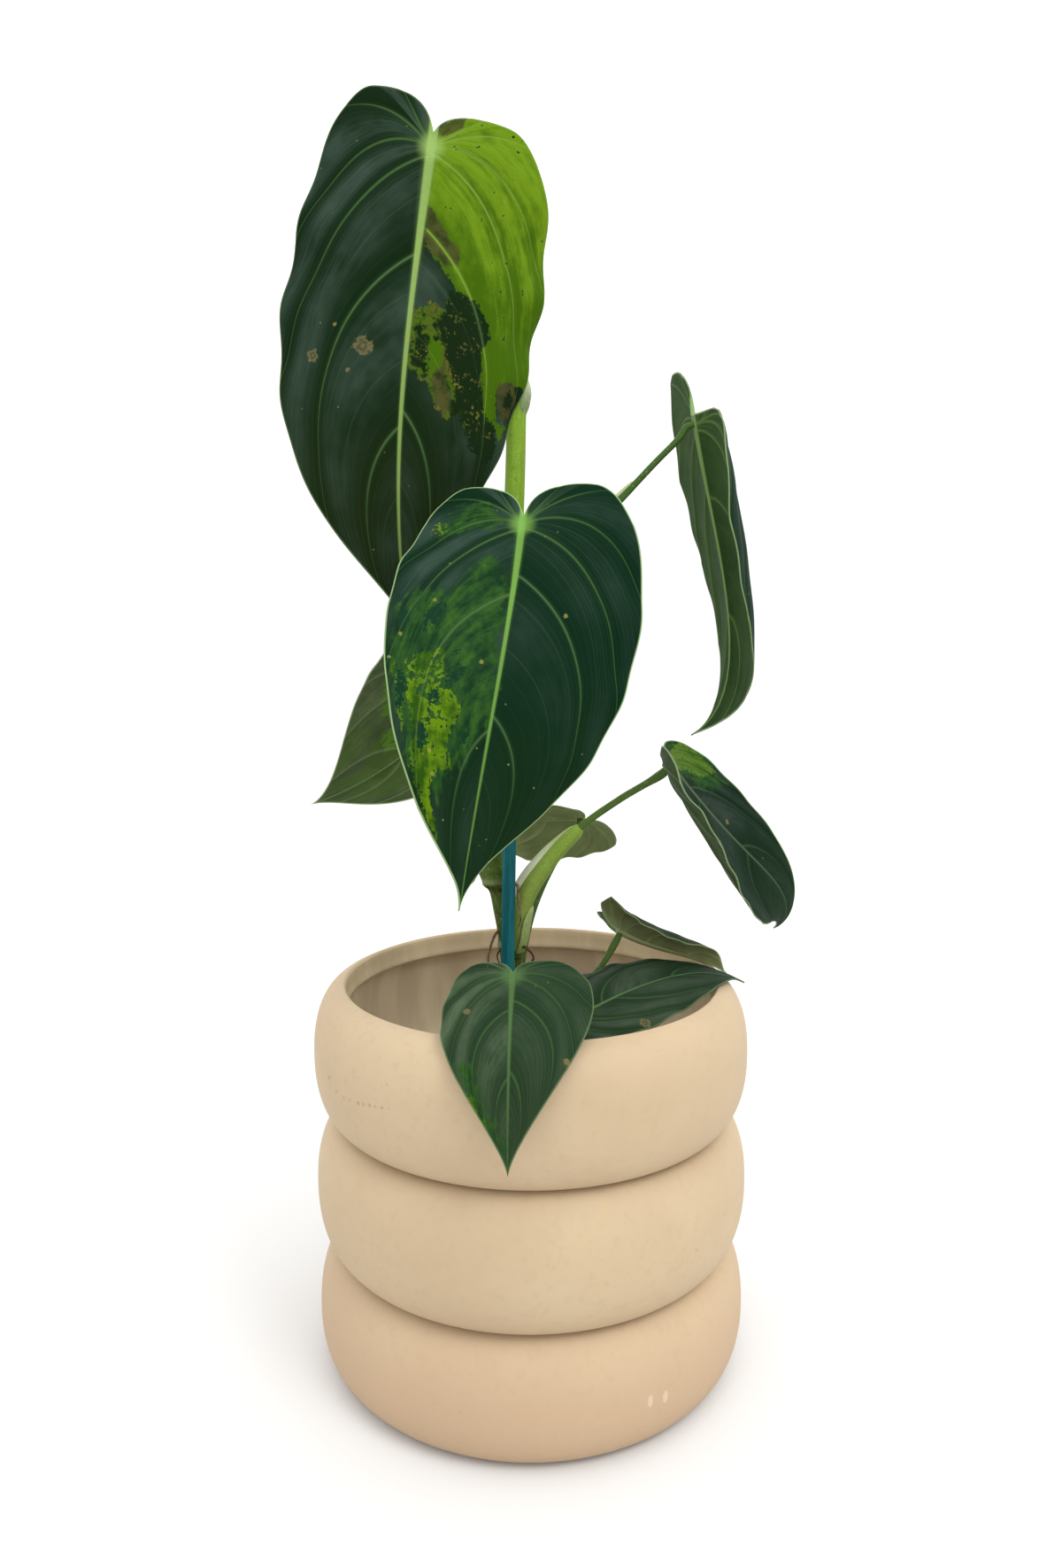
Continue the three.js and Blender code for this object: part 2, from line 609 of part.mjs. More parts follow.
function petioleSolid(leaf, grow) {
  const facing = vector(leaf.facing).normalize();
  const junction = vector(leaf.junction);
  const approach = junction.clone().addScaledVector(facing, -5);
  const route = [leaf.petiole.base, ...leaf.petiole.via, approach.toArray(), leaf.junction];
  const { radii, channel } = leaf.petiole;
  return tubeSolid(route, radii, { steps: 5 + 2 * route.length, grow, channel });
}

function bladeSolid(leaf, grow) {
  const { vertices, faces } = bladeParts(leaf, grow);
  return solidFrom(vertices, faces);
}

// Assembly
const group = new THREE.Group();

function addMesh(name, geometry, colour, roughness) {
  const material = new THREE.MeshStandardMaterial({ color: colour, roughness, metalness: 0 });
  const mesh = new THREE.Mesh(geometry, material);
  mesh.name = name;
  group.add(mesh);
}

const stem = stemSolid(0);
const stemRoom = stemSolid(seatGap);
const stakeRoom = solidOfGeometry(stakeGeometry(seatGap));
const rootRooms = [];

const coverPot = solidOfGeometry(turnedGeometry(coverPotOutline(), potSides));
addMesh('cover_pot', geometryOfSolid(coverPot), colours.ceramic, 0.75);
addMesh('nursery_pot', geometryOfSolid(nurseryPotSolid()), colours.nursery, 0.5);
addMesh('stem', geometryOfSolid(stem), colours.stem, 0.5);
addMesh('stake', stakeGeometry(0), colours.stake, 0.7);

for (const [name, { radius, route }] of Object.entries(aerialRoots)) {
  const options = { sides: 6, steps: 3 * route.length };
  const radii = rootTaper.map((share) => share * radius);
  const root = tubeSolid(route, radii, options).subtract(stemRoom);
  rootRooms.push(tubeSolid(route, radii, { ...options, grow: seatGap }));
  addMesh(`aerial_root_${name}`, geometryOfSolid(largestPiece(root)), colours.root, 0.9);
}

for (const [name, draft] of Object.entries(leaves)) {
  const leaf = completeLeaf(draft);
  const blade = bladeSolid(leaf, 0);
  const petiole = petioleSolid(leaf, 0).subtract(stemRoom).subtract(bladeSolid(leaf, seatGap));
  addMesh(`blade_${name}`, geometryOfSolid(blade), name === 'top' ? colours.bladeLime : colours.blade, 0.45);
  addMesh(`petiole_${name}`, geometryOfSolid(largestPiece(petiole)), colours.petiole, 0.5);
}

const substrate = substrateSolid([stemRoom, stakeRoom, ...rootRooms]);
addMesh('substrate', geometryOfSolid(substrate), colours.substrate, 1);

export default group;
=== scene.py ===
"""Potted variegated Philodendron melanochrysum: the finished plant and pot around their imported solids.

Sizes in the tables are millimetres and angles are radians. The origin is the centre of the pot's underside,
the viewer stands on the -Y side, and +Z is up.
"""

import math
from types import SimpleNamespace

import bpy
import numpy as np
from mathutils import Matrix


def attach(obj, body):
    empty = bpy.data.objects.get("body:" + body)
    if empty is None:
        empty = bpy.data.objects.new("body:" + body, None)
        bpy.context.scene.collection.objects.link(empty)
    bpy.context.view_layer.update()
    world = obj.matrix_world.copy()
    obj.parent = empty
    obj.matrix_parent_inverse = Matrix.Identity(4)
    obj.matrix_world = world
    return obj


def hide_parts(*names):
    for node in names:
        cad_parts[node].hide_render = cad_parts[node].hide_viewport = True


MM = 0.001

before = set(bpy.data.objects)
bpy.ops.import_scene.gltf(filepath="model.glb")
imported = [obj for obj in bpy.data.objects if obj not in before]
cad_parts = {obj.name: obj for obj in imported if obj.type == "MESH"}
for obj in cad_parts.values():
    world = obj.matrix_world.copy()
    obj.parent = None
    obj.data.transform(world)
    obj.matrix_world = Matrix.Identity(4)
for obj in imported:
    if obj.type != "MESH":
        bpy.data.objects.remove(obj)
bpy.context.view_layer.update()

# Camera where the photograph was taken from
CAMERA_PLACE = (0, -0.501, 0.3315)
CAMERA_DIP = 0.1297
PICTURE_HEIGHT, FOCAL_PIXELS, SENSOR = 1771, 1250, 36
HORIZON_LIGHT, OVERHEAD_LIGHT = 1.0, 1.95

# Cover pot
POT_RADIUS, RING_HEIGHT, RING_COUNT = 100, 61, 3
RING_BULGE, RING_SQUARENESS = 16, 2.3
POT_CUT, FOOT_RADIUS, POT_WALL, POT_FLOOR, LIP_BAND = 7, 87, 7, 8, 9
POT_HEIGHT = RING_HEIGHT * RING_COUNT - POT_CUT
OPENING_RADIUS = POT_RADIUS - RING_BULGE
POT_SIDES, WALL_POINTS, OUTSIDE_POINTS, INSIDE_POINTS = 220, 1200, 230, 120
GROOVE_REST, GROOVE_FILLET, FLOOR_CORNER = 3.1, 1.8, 4

# Nursery pot and what fills it
NURSERY_BASE, NURSERY_TOP, NURSERY_RIM, RIB_DEPTH = 54, 73, 76, 0.5
NURSERY_HEIGHT, NURSERY_RIM_HEIGHT, NURSERY_WALL, NURSERY_FLOOR = 112, 6, 1.4, POT_FLOOR + 0.3
SOIL_TOP = NURSERY_FLOOR + NURSERY_HEIGHT - 8
SOIL_HUMP, SOIL_WAVE, SOIL_RADIUS = 3, 1.2, 70
NURSERY_SIDES, NURSERY_RIBS, BED_SIDES, BED_RINGS = 128, 40, 160, 40

# Blades: thin at the margin, thick along the midrib
BLADE_THICKNESS, MARGIN_THICKNESS = 0.75, 0.45
QUILTING, FULL_BAY, WIDEST_BAY = 0.95, 10, 60
MIDRIB_VALLEY, MIDRIB_RIDGE, VEIN_RIDGE = (0.7, 1.8), (1.7, 1.7), (0.45, 0.7)
RIB_COUNT, BAY_COUNT = 128, 38
SMALL_BLADE, SMALL_BLADE_FINENESS, USUAL_LENGTH = 110, 0.7, 190
SINUS_DEPTH, LOBE_REACH, WAVE_COUNT, MIDRIB_STEPS, LOBE_STEPS = 0.03, 0.22, 5.5, 192, 48
BEND_POINTS, MARGIN_POINTS, ROUTE_POINTS = 400, 1600, 60
BASIC_BLADE = dict(
    fullness=0.45, tip_slimness=0.08, arch=(0.2, 0.1), hook=0, sway=(0, 0), twist=0, wave=1.2, knuckle=0.5)
BASIC_HALF = dict(width=0.31, widest_at=0.27, lobe=0.1, lobe_top_at=0.5, fold=0.1, curl=0.4, droop=0.3)
SIDES = (("left", -1), ("right", 1))

# How the veins fan out, against the way round the margin: -1 at the sinus, 0 at the lobe's top, 1 at the tip
# Each leaves the midrib at FAN_START, swings out to FAN_OUT of the half's width beside FAN_UP, and ends at
# the margin
FAN_WAY = (-1, -0.5, 0, 0.1, 0.27, 0.5, 0.68, 0.82, 0.91, 1)
FAN_START = (0, 0, 0, 0, 0, 0.005, 0.05, 0.25, 0.56, 1)
FAN_OUT = (0, 0.12, 0.3, 0.42, 0.55, 0.7, 0.87, 0.86, 0.55, 0)
FAN_UP = (-0.015, -0.05, -0.08, -0.085, -0.06, 0.06, 0.23)
KNEE_SHARE, KNEE_LIMIT = 0.3, 2.2
MAIN_VEINS = dict(left=(-0.4, 0.04, 0.29, 0.54, 0.79, 0.91), right=(-0.35, 0.02, 0.27, 0.52, 0.75, 0.9))

LEAVES = dict(
    top=dict(
        junction=(-39.6, -33, 525.2), tipward=(-0.156, 0.054, -0.986), facing=(0.01, -1, -0.06), length=192,
        arch=(-0.1, -0.01), sway=(-0.055, 0.37), twist=0.34, fullness=0.59, wave=1.8,
        left=dict(width=0.28, widest_at=0.356, lobe=0.107, fold=0.015, curl=0.48),
        right=dict(width=0.318, widest_at=0.272, lobe=0.078, fold=0.09, curl=0.71),
        petiole=((-6.6, 7, 436), (-5, 11, 462), (-12, 13, 500), (-32, -2, 527)), radii=(3.7, 2.4, 2, 1.8)),
    front=dict(
        junction=(-3.5, -55, 376.5), tipward=(-0.091, -0.549, -0.831), facing=(-0.111, -0.821, 0.56),
        length=157.6,
        arch=(0.182, 0.575), sway=(-0.19, -0.036), twist=1.149, fullness=0.734, tip_slimness=0.044,
        wave=1.4,
        left=dict(width=0.289, lobe=0.121, fold=-0.089, curl=0.238),
        right=dict(width=0.326, widest_at=0.284, lobe=0.139, fold=-0.016, curl=0.117),
        petiole=((-12.5, 2, 303), (-9, -16, 328), (-3, -36, 360)), radii=(3.8, 2.8, 1.9, 1.7)),
    right_high=dict(
        junction=(74, 5, 426), tipward=(0.212, 0.063, -0.975), facing=(0.97, 0.11, 0.217), length=152,
        arch=(-0.317, 0.676), hook=0.986, sway=(0.146, 0.32), twist=-0.135, fullness=0.56,
        tip_slimness=0.05, wave=0.5,
        left=dict(width=0.288, widest_at=0.3, lobe=0.03, lobe_top_at=0.24, fold=-0.49, curl=1.22, droop=-0.6),
        right=dict(width=0.267, widest_at=0.26, lobe=0.17, fold=-0.013, curl=0.157, droop=0.1),
        knuckle=0.15,
        petiole=((-11, 1, 324), (15.5, 0, 371), (38.2, 3, 391.8), (54.9, 3.5, 409.1), (66, 4.4, 420.4)),
        radii=(3.6, 3.2, 2.8, 2.4, 1.9, 1.48, 1.42, 1.45)),
    right_low=dict(
        junction=(61.2, -20, 278), tipward=(0.553, 0.503, -0.664), facing=(0.447, -0.427, 0.786),
        length=119.7,
        arch=(-0.029, -0.411), hook=2.158, sway=(-0.185, -0.174), twist=-0.609, fullness=0.558,
        tip_slimness=0.5, wave=0.5,
        left=dict(width=0.359, lobe=0.17, fold=0.267, curl=-0.914, droop=-1.3),
        right=dict(
            width=0.207, widest_at=0.26, lobe=0.035, lobe_top_at=0.24, fold=0.007, curl=-0.594, droop=1.2),
        petiole=(
            (-7.5, 0, 186), (-5.7, -3, 194), (-3.3, -5, 212.6), (7.5, -8, 231), (22.4, -12, 248.3),
            (39.3, -15, 261.2)),
        radii=(2.3, 2.8, 2.8, 2.6, 2.1, 1.6, 1.55, 1.55, 1.6)),
    left_back=dict(
        junction=(-18.7, 35, 328), tipward=(-0.46, 0.19, -0.87), facing=(0.28, 0.91, 0.31), length=127,
        arch=(0.04, 0.1), sway=(0.74, 0), fullness=0.6,
        left=dict(width=0.22, curl=0.3), right=dict(width=0.335, curl=0.3),
        petiole=((-17, 4, 262), (-21, 14, 290), (-21.5, 19, 318)), radii=(3.4, 2.2, 1.7, 1.6)),
    back=dict(
        junction=(23.7, 30, 246), tipward=(-0.93, 0.37, -0.05), facing=(0, 0.72, 0.69), length=79,
        left=dict(width=0.373, widest_at=0.325, lobe=0.204, fold=0.05, curl=0.3),
        right=dict(width=0.373, widest_at=0.325, lobe=0.06, fold=0.3, curl=0.3),
        petiole=((-8, 5, 166), (1, 12, 205), (13, 20, 229)), radii=(2.6, 2, 1.7, 1.5)),
    rim=dict(
        junction=(-7.5, -67, 196.5), tipward=(-0.03, -0.87, -0.49), facing=(-0.07, -0.49, 0.87), length=81,
        arch=(0.5, 0.32), sway=(-0.02, 0), twist=-0.015, fullness=0.35, wave=0.8,
        left=dict(width=0.345, lobe=0.108, fold=0.02, curl=0.14),
        right=dict(width=0.405, widest_at=0.15, lobe=0.112, fold=0.02, curl=0.14),
        petiole=((-10, 0, 133), (-3, -13, 144), (-4, -36, 167), (-6.5, -54, 183)),
        radii=(2.4, 1.8, 1.6, 1.5, 1.4)),
    opening=dict(
        junction=(18, -48, 172), tipward=(0.82, 0.48, 0.31), facing=(-0.38, -0.45, 0.81), length=102,
        arch=(0.27, 0.59), sway=(-0.05, 0), wave=0.8,
        left=dict(width=0.233, fold=-0.05, curl=0.4), right=dict(width=0.309, fold=0.02, curl=0.4),
        petiole=((-10, 1, 126), (3, -12, 135), (12, -30, 147), (18, -41, 158)), radii=(2.4, 1.8, 1.5, 1.4)),
    rim_back=dict(
        junction=(43, 13, 193.8), tipward=(0.878, 0.007, -0.479), facing=(0.468, 0.42, 0.778), length=61.5,
        fullness=0.478, arch=(-0.95, 0.976), sway=(0.17, 0.337), twist=-0.271, wave=0.4,
        left=dict(width=0.359, lobe=0.33, lobe_top_at=0.46, fold=-1.108, curl=1.895, droop=-0.457),
        right=dict(width=0.346, lobe=0.2, fold=-0.573, curl=0.205, droop=0.1),
        petiole=((-9, 4, 128), (6, 5, 150), (32, 6, 177)), radii=(2.4, 1.8, 1.5, 1.4, 1.3)),
)

# Variegation: outlines of the patches on the flat leaf, across and along, in thousandths of its length
PATCH_KINDS = ("lime", "brown", "black", "streaked")
PATCHES = dict(
    top=dict(
        lime=(
            ((0, -20), (60, -90), (130, -100), (340, -50), (360, 300), (330, 430), (270, 420), (219, 433),
             (223, 473), (238, 515), (275, 510), (244, 557), (227, 524), (206, 524), (189, 492), (164, 378),
             (188, 331), (154, 289), (135, 274), (88, 263), (54, 225), (12, 190), (4, 100)),
            ((47, 362), (67, 370), (82, 388), (81, 417), (72, 433), (45, 442), (50, 406), (40, 382)),
            ((86, 424), (99, 448), (115, 483), (108, 484), (93, 469), (76, 440)),
            ((130, 354), (142, 354), (147, 374), (134, 374)),),
        brown=(
            ((0, 111), (19, 112), (36, 135), (60, 161), (97, 191), (90, 211), (60, 225), (40, 209),
             (16, 191), (0, 170)),
            ((4, -18), (17, -45), (39, -66), (70, -80), (59, -48), (30, -26)),
            ((214, 434), (260, 414), (291, 457), (276, 505), (243, 508)),
            ((58, 441), (81, 420), (99, 450), (122, 508), (105, 520), (70, 505)),
            ((72, 376), (137, 344), (158, 382), (149, 436), (114, 425), (87, 395)),),
        black=(
            ((76, 268), (101, 264), (128, 271), (148, 284), (159, 305), (184, 318), (187, 341), (165, 373),
             (173, 434), (199, 504), (232, 522), (238, 560), (223, 612), (162, 592), (131, 515), (115, 464),
             (93, 421), (80, 393), (75, 336), (72, 297)),
            ((243, 444), (264, 434), (280, 455), (270, 485), (250, 478)),
            ((15, 386), (41, 370), (52, 395), (40, 422), (20, 416)),
            ((57, 319), (82, 319), (94, 362), (79, 370), (59, 348)),),
        streaked=(
            ((-3, 319), (38, 315), (75, 297), (101, 270), (159, 305), (175, 376), (195, 504), (238, 518),
             (230, 560), (177, 570), (129, 535), (94, 525), (51, 463), (8, 431)),)),
    front=dict(
        lime=(
            ((-235, 445), (-197, 422), (-146, 398), (-128, 430), (-134, 460), (-108, 499), (-79, 527),
             (-105, 598), (-111, 636), (-74, 661), (-82, 676), (-118, 677), (-144, 722), (-178, 712),
             (-192, 674), (-189, 615), (-202, 560), (-221, 524)),
            ((-264, 446), (-240, 485), (-219, 564), (-214, 622), (-236, 567)),
            ((-178, 712), (-142, 719), (-124, 764), (-93, 838), (-131, 790)),
            ((-231, 27), (-211, -3), (-184, 15), (-194, 53), (-224, 53)),),
        brown=(
            ((129, 232), (144, 239), (143, 251), (128, 249)),),
        black=(
            ((-137, 499), (-124, 449), (-97, 427), (-84, 434), (-97, 466), (-120, 498)),
            ((-126, 415), (-115, 380), (-100, 382), (-110, 415)),
            ((-242, 563), (-246, 503), (-238, 469), (-222, 496), (-218, 540), (-225, 570)),
            ((-156, 561), (-165, 537), (-160, 500), (-139, 490), (-142, 521), (-144, 551)),
            ((-180, 631), (-189, 591), (-174, 575), (-156, 597), (-152, 627), (-169, 645)),
            ((-78, 611), (-76, 587), (-65, 565), (-48, 570), (-55, 600)),
            ((-200, 377), (-200, 317), (-165, 263), (-152, 279), (-165, 342), (-185, 377)),
            ((-256, 376), (-259, 343), (-244, 306), (-232, 321), (-236, 366)),),
        streaked=(
            ((-17, 131), (-14, 282), (-9, 422), (-4, 539), (-47, 614), (-75, 668), (-121, 730), (-169, 706),
             (-236, 567), (-264, 446), (-252, 321), (-219, 241), (-154, 234), (-78, 116)),
            ((-196, 41), (-165, -45), (-107, -65), (-46, -10), (-110, 28)),)),
    right_low=dict(
        lime=(
            ((37, 4), (109, 24), (166, 60), (187, 152), (194, 289), (113, 224), (92, 169), (65, 106),
             (14, 64)),),
        streaked=(
            ((0, 0), (142, 6), (193, 190), (197, 353), (104, 282), (39, 150)),)),
    left_back=dict(
        lime=(
            ((60, 300), (200, 300), (260, 420), (140, 550), (50, 620), (40, 450)),),
        streaked=(
            ((-200, 500), (0, 400), (100, 200), (280, 300), (200, 600), (0, 950), (-100, 800)),)),
    rim=dict(
        lime=(
            ((-200, 620), (-170, 640), (-100, 800), (-120, 820)),),
        brown=(
            ((250, 470), (300, 470), (300, 510), (260, 510)),),
        streaked=(
            ((-240, 500), (-180, 520), (-100, 740), (-20, 860), (-20, 960), (-120, 880)),)),
)
FAR_OUTSIDE = -60.0

# Healed scars on the flat leaf, in shares of its length, with their radii
SCARS = dict(
    top=((-0.091, 0.407, 4.2), (-0.198, 0.436, 2.6), (-0.118, 0.458, 1.1), (-0.155, 0.371, 0.9),
    (0.169, 0.064, 0.7)),
    front=(
        (0.136, 0.241, 0.9), (-0.182, 0.272, 0.8), (-0.148, 0.641, 0.8), (-0.134, 0.689, 0.9),
        (-0.248, 0.387, 0.9),
        (-0.264, 0.451, 0.8), (-0.05, 0.408, 0.9), (0.064, 0.631, 0.5), (0.148, 0.674, 0.5),
        (-0.026, 0.611, 0.4),
        (-0.091, 0.781, 0.4), (0.044, 0.819, 0.4), (-0.162, 0.148, 0.4), (-0.078, 0.144, 0.4)),
    right_low=((0.036, 0.41, 1.5),),
    rim=((-0.216, 0.208, 1.6), (0.272, 0.484, 1.4)),
    opening=((-0.203, 0.22, 2.6),),
)

# Stem, bud and roots
STEM_ROUTE = (
    (-9.5, 3, 70), (-9.3, 3, 125), (-9.3, 3, 184), (-10.8, 2.2, 197), (-12.6, 1.6, 207), (-14.6, 1.2, 217),
    (-17.4, 1, 225), (-18.2, 1, 233), (-16.5, 2, 262), (-13, 2, 300), (-10, 2, 340), (-8, 5, 380),
    (-6.9, 6.5, 410), (-6.3, 7, 441))
STEM_RADII = (4.6, 4.8, 5, 5, 4.8, 4.8, 4.8, 4.8, 4.6, 4.4, 4.2)
STEM_NODES = (152, 190, 225, 262, 303, 324, 436)
STEM_SCARS = (152, 190, 220.5, 262, 303, 324)
NODE_SKIRT_AT, NODE_SKIRT, NODE_SKIRT_HEIGHT = 221.3, 1.3, 1.9
SWOLLEN_AT, SWOLLEN_BY, SWOLLEN_HEIGHT = 227, 1, 5
NODE_SWELL, NODE_HALF_HEIGHT = 0.9, 3
BUD_ROUTE = ((-5, 6.5, 430), (-3.7, 5.6, 436), (-3, 5, 441), (-3.3, 5, 445), (-3.9, 5.2, 448.4))
BUD_RADII = (2.6, 3.4, 3.4, 2.4, 0.7)
SOIL_ROOTS, SOIL_ROOT_REACH, SOIL_ROOT_DROP = 5, 30, 26
AERIAL_ROOTS = dict(
    left=(0.34, (
        (-19, 0.5, 226.5), (-23, -1, 226.6), (-25.3, -2.2, 223.3), (-27.1, -3, 220.6), (-29.9, -3.5, 219.6))),
    low=(0.62, (
        (-13, 1, 199), (-16.4, -2, 196.4), (-18.8, -4.5, 190.8), (-20, -6, 185.7), (-19.2, -6, 181),
        (-21, -8, 140), (-23, -9, 95))),
    front=(0.72, (
        (-13, 2, 220.6), (-6.2, -7.5, 220.4), (-5.7, -11, 216.6), (-5, -13.5, 211), (-4.9, -13.8, 207))),
)
WISPS = (
    (0.7, (
        (-8, -1, 191), (-4.4, -5, 191.6), (-1.6, -8, 190.9), (0.4, -8, 188.8), (1.2, -8, 186.3),
        (0.4, -7, 185.2))),
    (0.45, ((-12, 0, 190), (-14.4, -5, 189.4), (-15.5, -8, 187.9), (-15.1, -8.2, 185.6), (-14.2, -8, 184.2))),
    (0.36, ((-5, -13.7, 209), (-4.7, -13.8, 206.6), (-5, -13.8, 204.8), (-5.6, -13.6, 203))),
    (0.3, ((-20, -3, 219), (-19.4, -4.4, 218), (-18.2, -5, 216.8))),
    (0.35, ((-18, -3.4, 219.4), (-17.4, -4.8, 218), (-16.4, -5, 216.4), (-16.2, -5, 215))),
    (0.3, ((-16, -3.4, 219.6), (-15.2, -4.8, 218.8), (-14.6, -5, 217))),
)
STAKE_FOOT, STAKE_HEAD, STAKE_WIDTH = (-13, -13, 25), (-8.8, -11, 302), 5.95
STEM_STEPS, STEM_SIDES, BUD_STEPS, BUD_SIDES = 260, 40, 30, 20
ROOT_STEPS, ROOT_SIDES, SOIL_ROOT_STEPS, STAKE_STEPS, STAKE_SIDES = 70, 12, 24, 60, 48

# Petioles, and the broad sheath, papery wings and loose flap that two of them carry, by their steps
PETIOLE_STEPS, PETIOLE_SIDES = 140, 36
SHEATH_SHARES = (0, 0.12, 0.28, 0.5, 0.75, 0.9, 0.965, 1)
SHEATH_RADII = (2.6, 3.8, 4.5, 4.1, 3.6, 3.4, 3.1, 1.9)
SHEATH_SPAN, WING_SPAN, FLAP_SPAN, HIGH_WING_SPAN = slice(4, 83), slice(20, 80), slice(4, 31), slice(60, 101)
WING_COLUMNS, FLAP_COLUMNS = 13, 25


# Lines

def unit(rows):
    rows = np.asarray(rows, float)
    return rows / np.linalg.norm(rows, axis=-1, keepdims=True)


def between(x, xs, rows):
    """Rows of points interpolated at x."""
    return np.stack([np.interp(x, xs, rows[:, k]) for k in range(rows.shape[1])], -1)


def paces(line):
    """Lengths of a line's pieces."""
    return np.linalg.norm(np.diff(line, axis=0), axis=1)


def evened(line, count):
    """The line with evenly spaced points, and how far along each given point was."""
    run = np.r_[0, np.cumsum(paces(line))]
    return between(np.linspace(0, run[-1], count), run, line), run


def spread(values, count):
    """A few values drawn out evenly over many stations."""
    return np.interp(np.linspace(0, 1, count), np.linspace(0, 1, len(values)), values)


def hump(away, width):
    """1 in the middle and fading to both sides."""
    return np.exp(-(away / width) ** 2)


def smooth_route(points, count):
    """Evenly spaced points on a smooth curve through the given ones."""
    given = np.array(points, float)
    given = np.vstack([2 * given[0] - given[1], given, 2 * given[-1] - given[-2]])
    knots = np.r_[0, np.cumsum(paces(given) ** 0.5)]
    line = []
    for i in range(1, len(given) - 2):
        t = np.linspace(knots[i], knots[i + 1], ROUTE_POINTS)[:, None]

        def mixed(a, b, k, m):
            return (a * (knots[m] - t) + b * (t - knots[k])) / (knots[m] - knots[k])

        first = [mixed(given[i + k], given[i + k + 1], i + k, i + k + 1) for k in (-1, 0, 1)]
        second = [mixed(first[k], first[k + 1], i + k - 1, i + k + 1) for k in (0, 1)]
        line.append(mixed(second[0], second[1], i, i + 1))
    return evened(np.vstack(line), count)[0]


def round_route(route, angle, reach):
    """Points round a route, by their angle and their reach from it, with a steady zero angle."""
    along = unit(np.gradient(route, axis=0))
    across = np.zeros_like(route)
    first = np.array((0, -1, 0.2))
    for i, way in enumerate(along):
        first = unit(first - way * (first @ way))
        across[i] = first
    other = np.cross(along, across)
    return (route[:, None] + across[:, None] * (np.cos(angle) * reach)[..., None]
            + other[:, None] * (np.sin(angle) * reach)[..., None])


# Pieces

def placed(name, data):
    """A new object in the scene."""
    item = bpy.data.objects.new(name, data)
    bpy.context.scene.collection.objects.link(item)
    return item


def make_piece(name, points, faces, finishes, chosen=None, corners=None):
    """A smooth mesh piece from points in millimetres and faces of one corner count."""
    faces = np.asarray(faces)
    mesh = bpy.data.meshes.new(name)
    mesh.vertices.add(len(points))
    mesh.vertices.foreach_set("co", (np.asarray(points, float) * MM).ravel())
    mesh.loops.add(faces.size)
    mesh.loops.foreach_set("vertex_index", faces.ravel())
    mesh.polygons.add(len(faces))
    mesh.polygons.foreach_set("loop_start", np.arange(len(faces)) * faces.shape[1])
    for finish in finishes:
        mesh.materials.append(finish)
    if chosen is not None:
        mesh.polygons.foreach_set("material_index", np.asarray(chosen, int))
    mesh.update(calc_edges=True)
    for key, (kind, rows) in (corners or {}).items():
        mesh.attributes.new(key, kind, "CORNER").data.foreach_set(
            "color" if kind == "FLOAT_COLOR" else "vector", np.asarray(rows, float).ravel())
    mesh.validate()
    mesh.shade_smooth()
    return placed(name, mesh)


def settle(piece, slot, *nodes):
    """The piece hangs from the root and hides the CAD nodes it stands for; the slot is not used."""
    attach(piece, "root")
    if nodes:
        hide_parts(*nodes)


def quads_of(*corners):
    """Four-cornered faces from the numbers of their first, second, third and fourth corners."""
    return np.stack(corners, -1).reshape(-1, 4)


def halved(quads):
    """Each four-cornered face as two triangles."""
    return np.vstack([quads[:, (0, 1, 2)], quads[:, (0, 2, 3)]])


def ringed(count, sides):
    """Numbers of the points of a stack of rings, those of their neighbours, and the faces between them."""
    index = np.arange(count * sides).reshape(count, sides)
    following = np.roll(index, -1, axis=1)
    return index, following, quads_of(index[:-1], following[:-1], following[1:], index[1:])


def turned(outline, sides):
    """Points and faces of a body turned about the upright axis, closed on the axis at both ends."""
    outline = np.array(outline, float)
    angle = np.arange(sides) / sides * 2 * math.pi
    radius = outline[:, :1]
    heights = np.repeat(outline[:, 1:], sides, 1)
    rings = np.stack([radius * np.cos(angle), radius * np.sin(angle), heights], -1)
    return rings.reshape(-1, 3), ringed(len(outline), sides)[2]


def tube(route, radii, sides=20, shape=None):
    """Points and faces of a closed tube; shape bends its round section, against angle and share of length."""
    route, radii = np.asarray(route, float), np.asarray(radii, float)
    angle = np.arange(sides) / sides * 2 * math.pi
    share = np.linspace(0, 1, len(route))
    reach = radii[:, None] * (shape(angle[None, :], share[:, None]) if shape else np.ones((1, sides)))
    points = np.vstack([round_route(route, angle, reach).reshape(-1, 3), route[:1], route[-1:]])
    index, following, quads = ringed(len(route), sides)
    start, end = len(points) - 2, len(points) - 1
    caps = [(start, following[0, k], index[0, k]) for k in range(sides)]
    caps += [(end, index[-1, k], following[-1, k]) for k in range(sides)]
    return points, np.vstack([halved(quads), caps])


def joined(*bodies):
    """Several bodies of points and triangles as one, with the number of each face's body."""
    points, faces, kinds, shift = [], [], [], 0
    for kind, (body_points, body_faces) in enumerate(bodies):
        points.append(body_points)
        faces.append(np.asarray(body_faces) + shift)
        kinds += [kind] * len(body_faces)
        shift += len(body_points)
    return np.vstack(points), np.vstack(faces), np.array(kinds)


# Nodes

class Value:
    """A value in a node tree, worked out further with plain arithmetic."""

    def __init__(self, tree, socket):
        self.tree, self.socket = tree, socket

    def through(self, operation, *others):
        return add(self.tree, "ShaderNodeMath", dict(enumerate((self, *others))), operation=operation)[0]

    def __add__(self, other):
        return self.through("ADD", other)

    def __sub__(self, other):
        return self.through("SUBTRACT", other)

    def __mul__(self, other):
        return self.through("MULTIPLY", other)

    def __truediv__(self, other):
        return self.through("DIVIDE", other)

    def __abs__(self):
        return self.through("ABSOLUTE")


class Outlets:
    """What a node gives, by name or number."""

    def __init__(self, tree, node):
        self.tree, self.node = tree, node

    def __getitem__(self, place):
        return Value(self.tree, self.node.outputs[place])


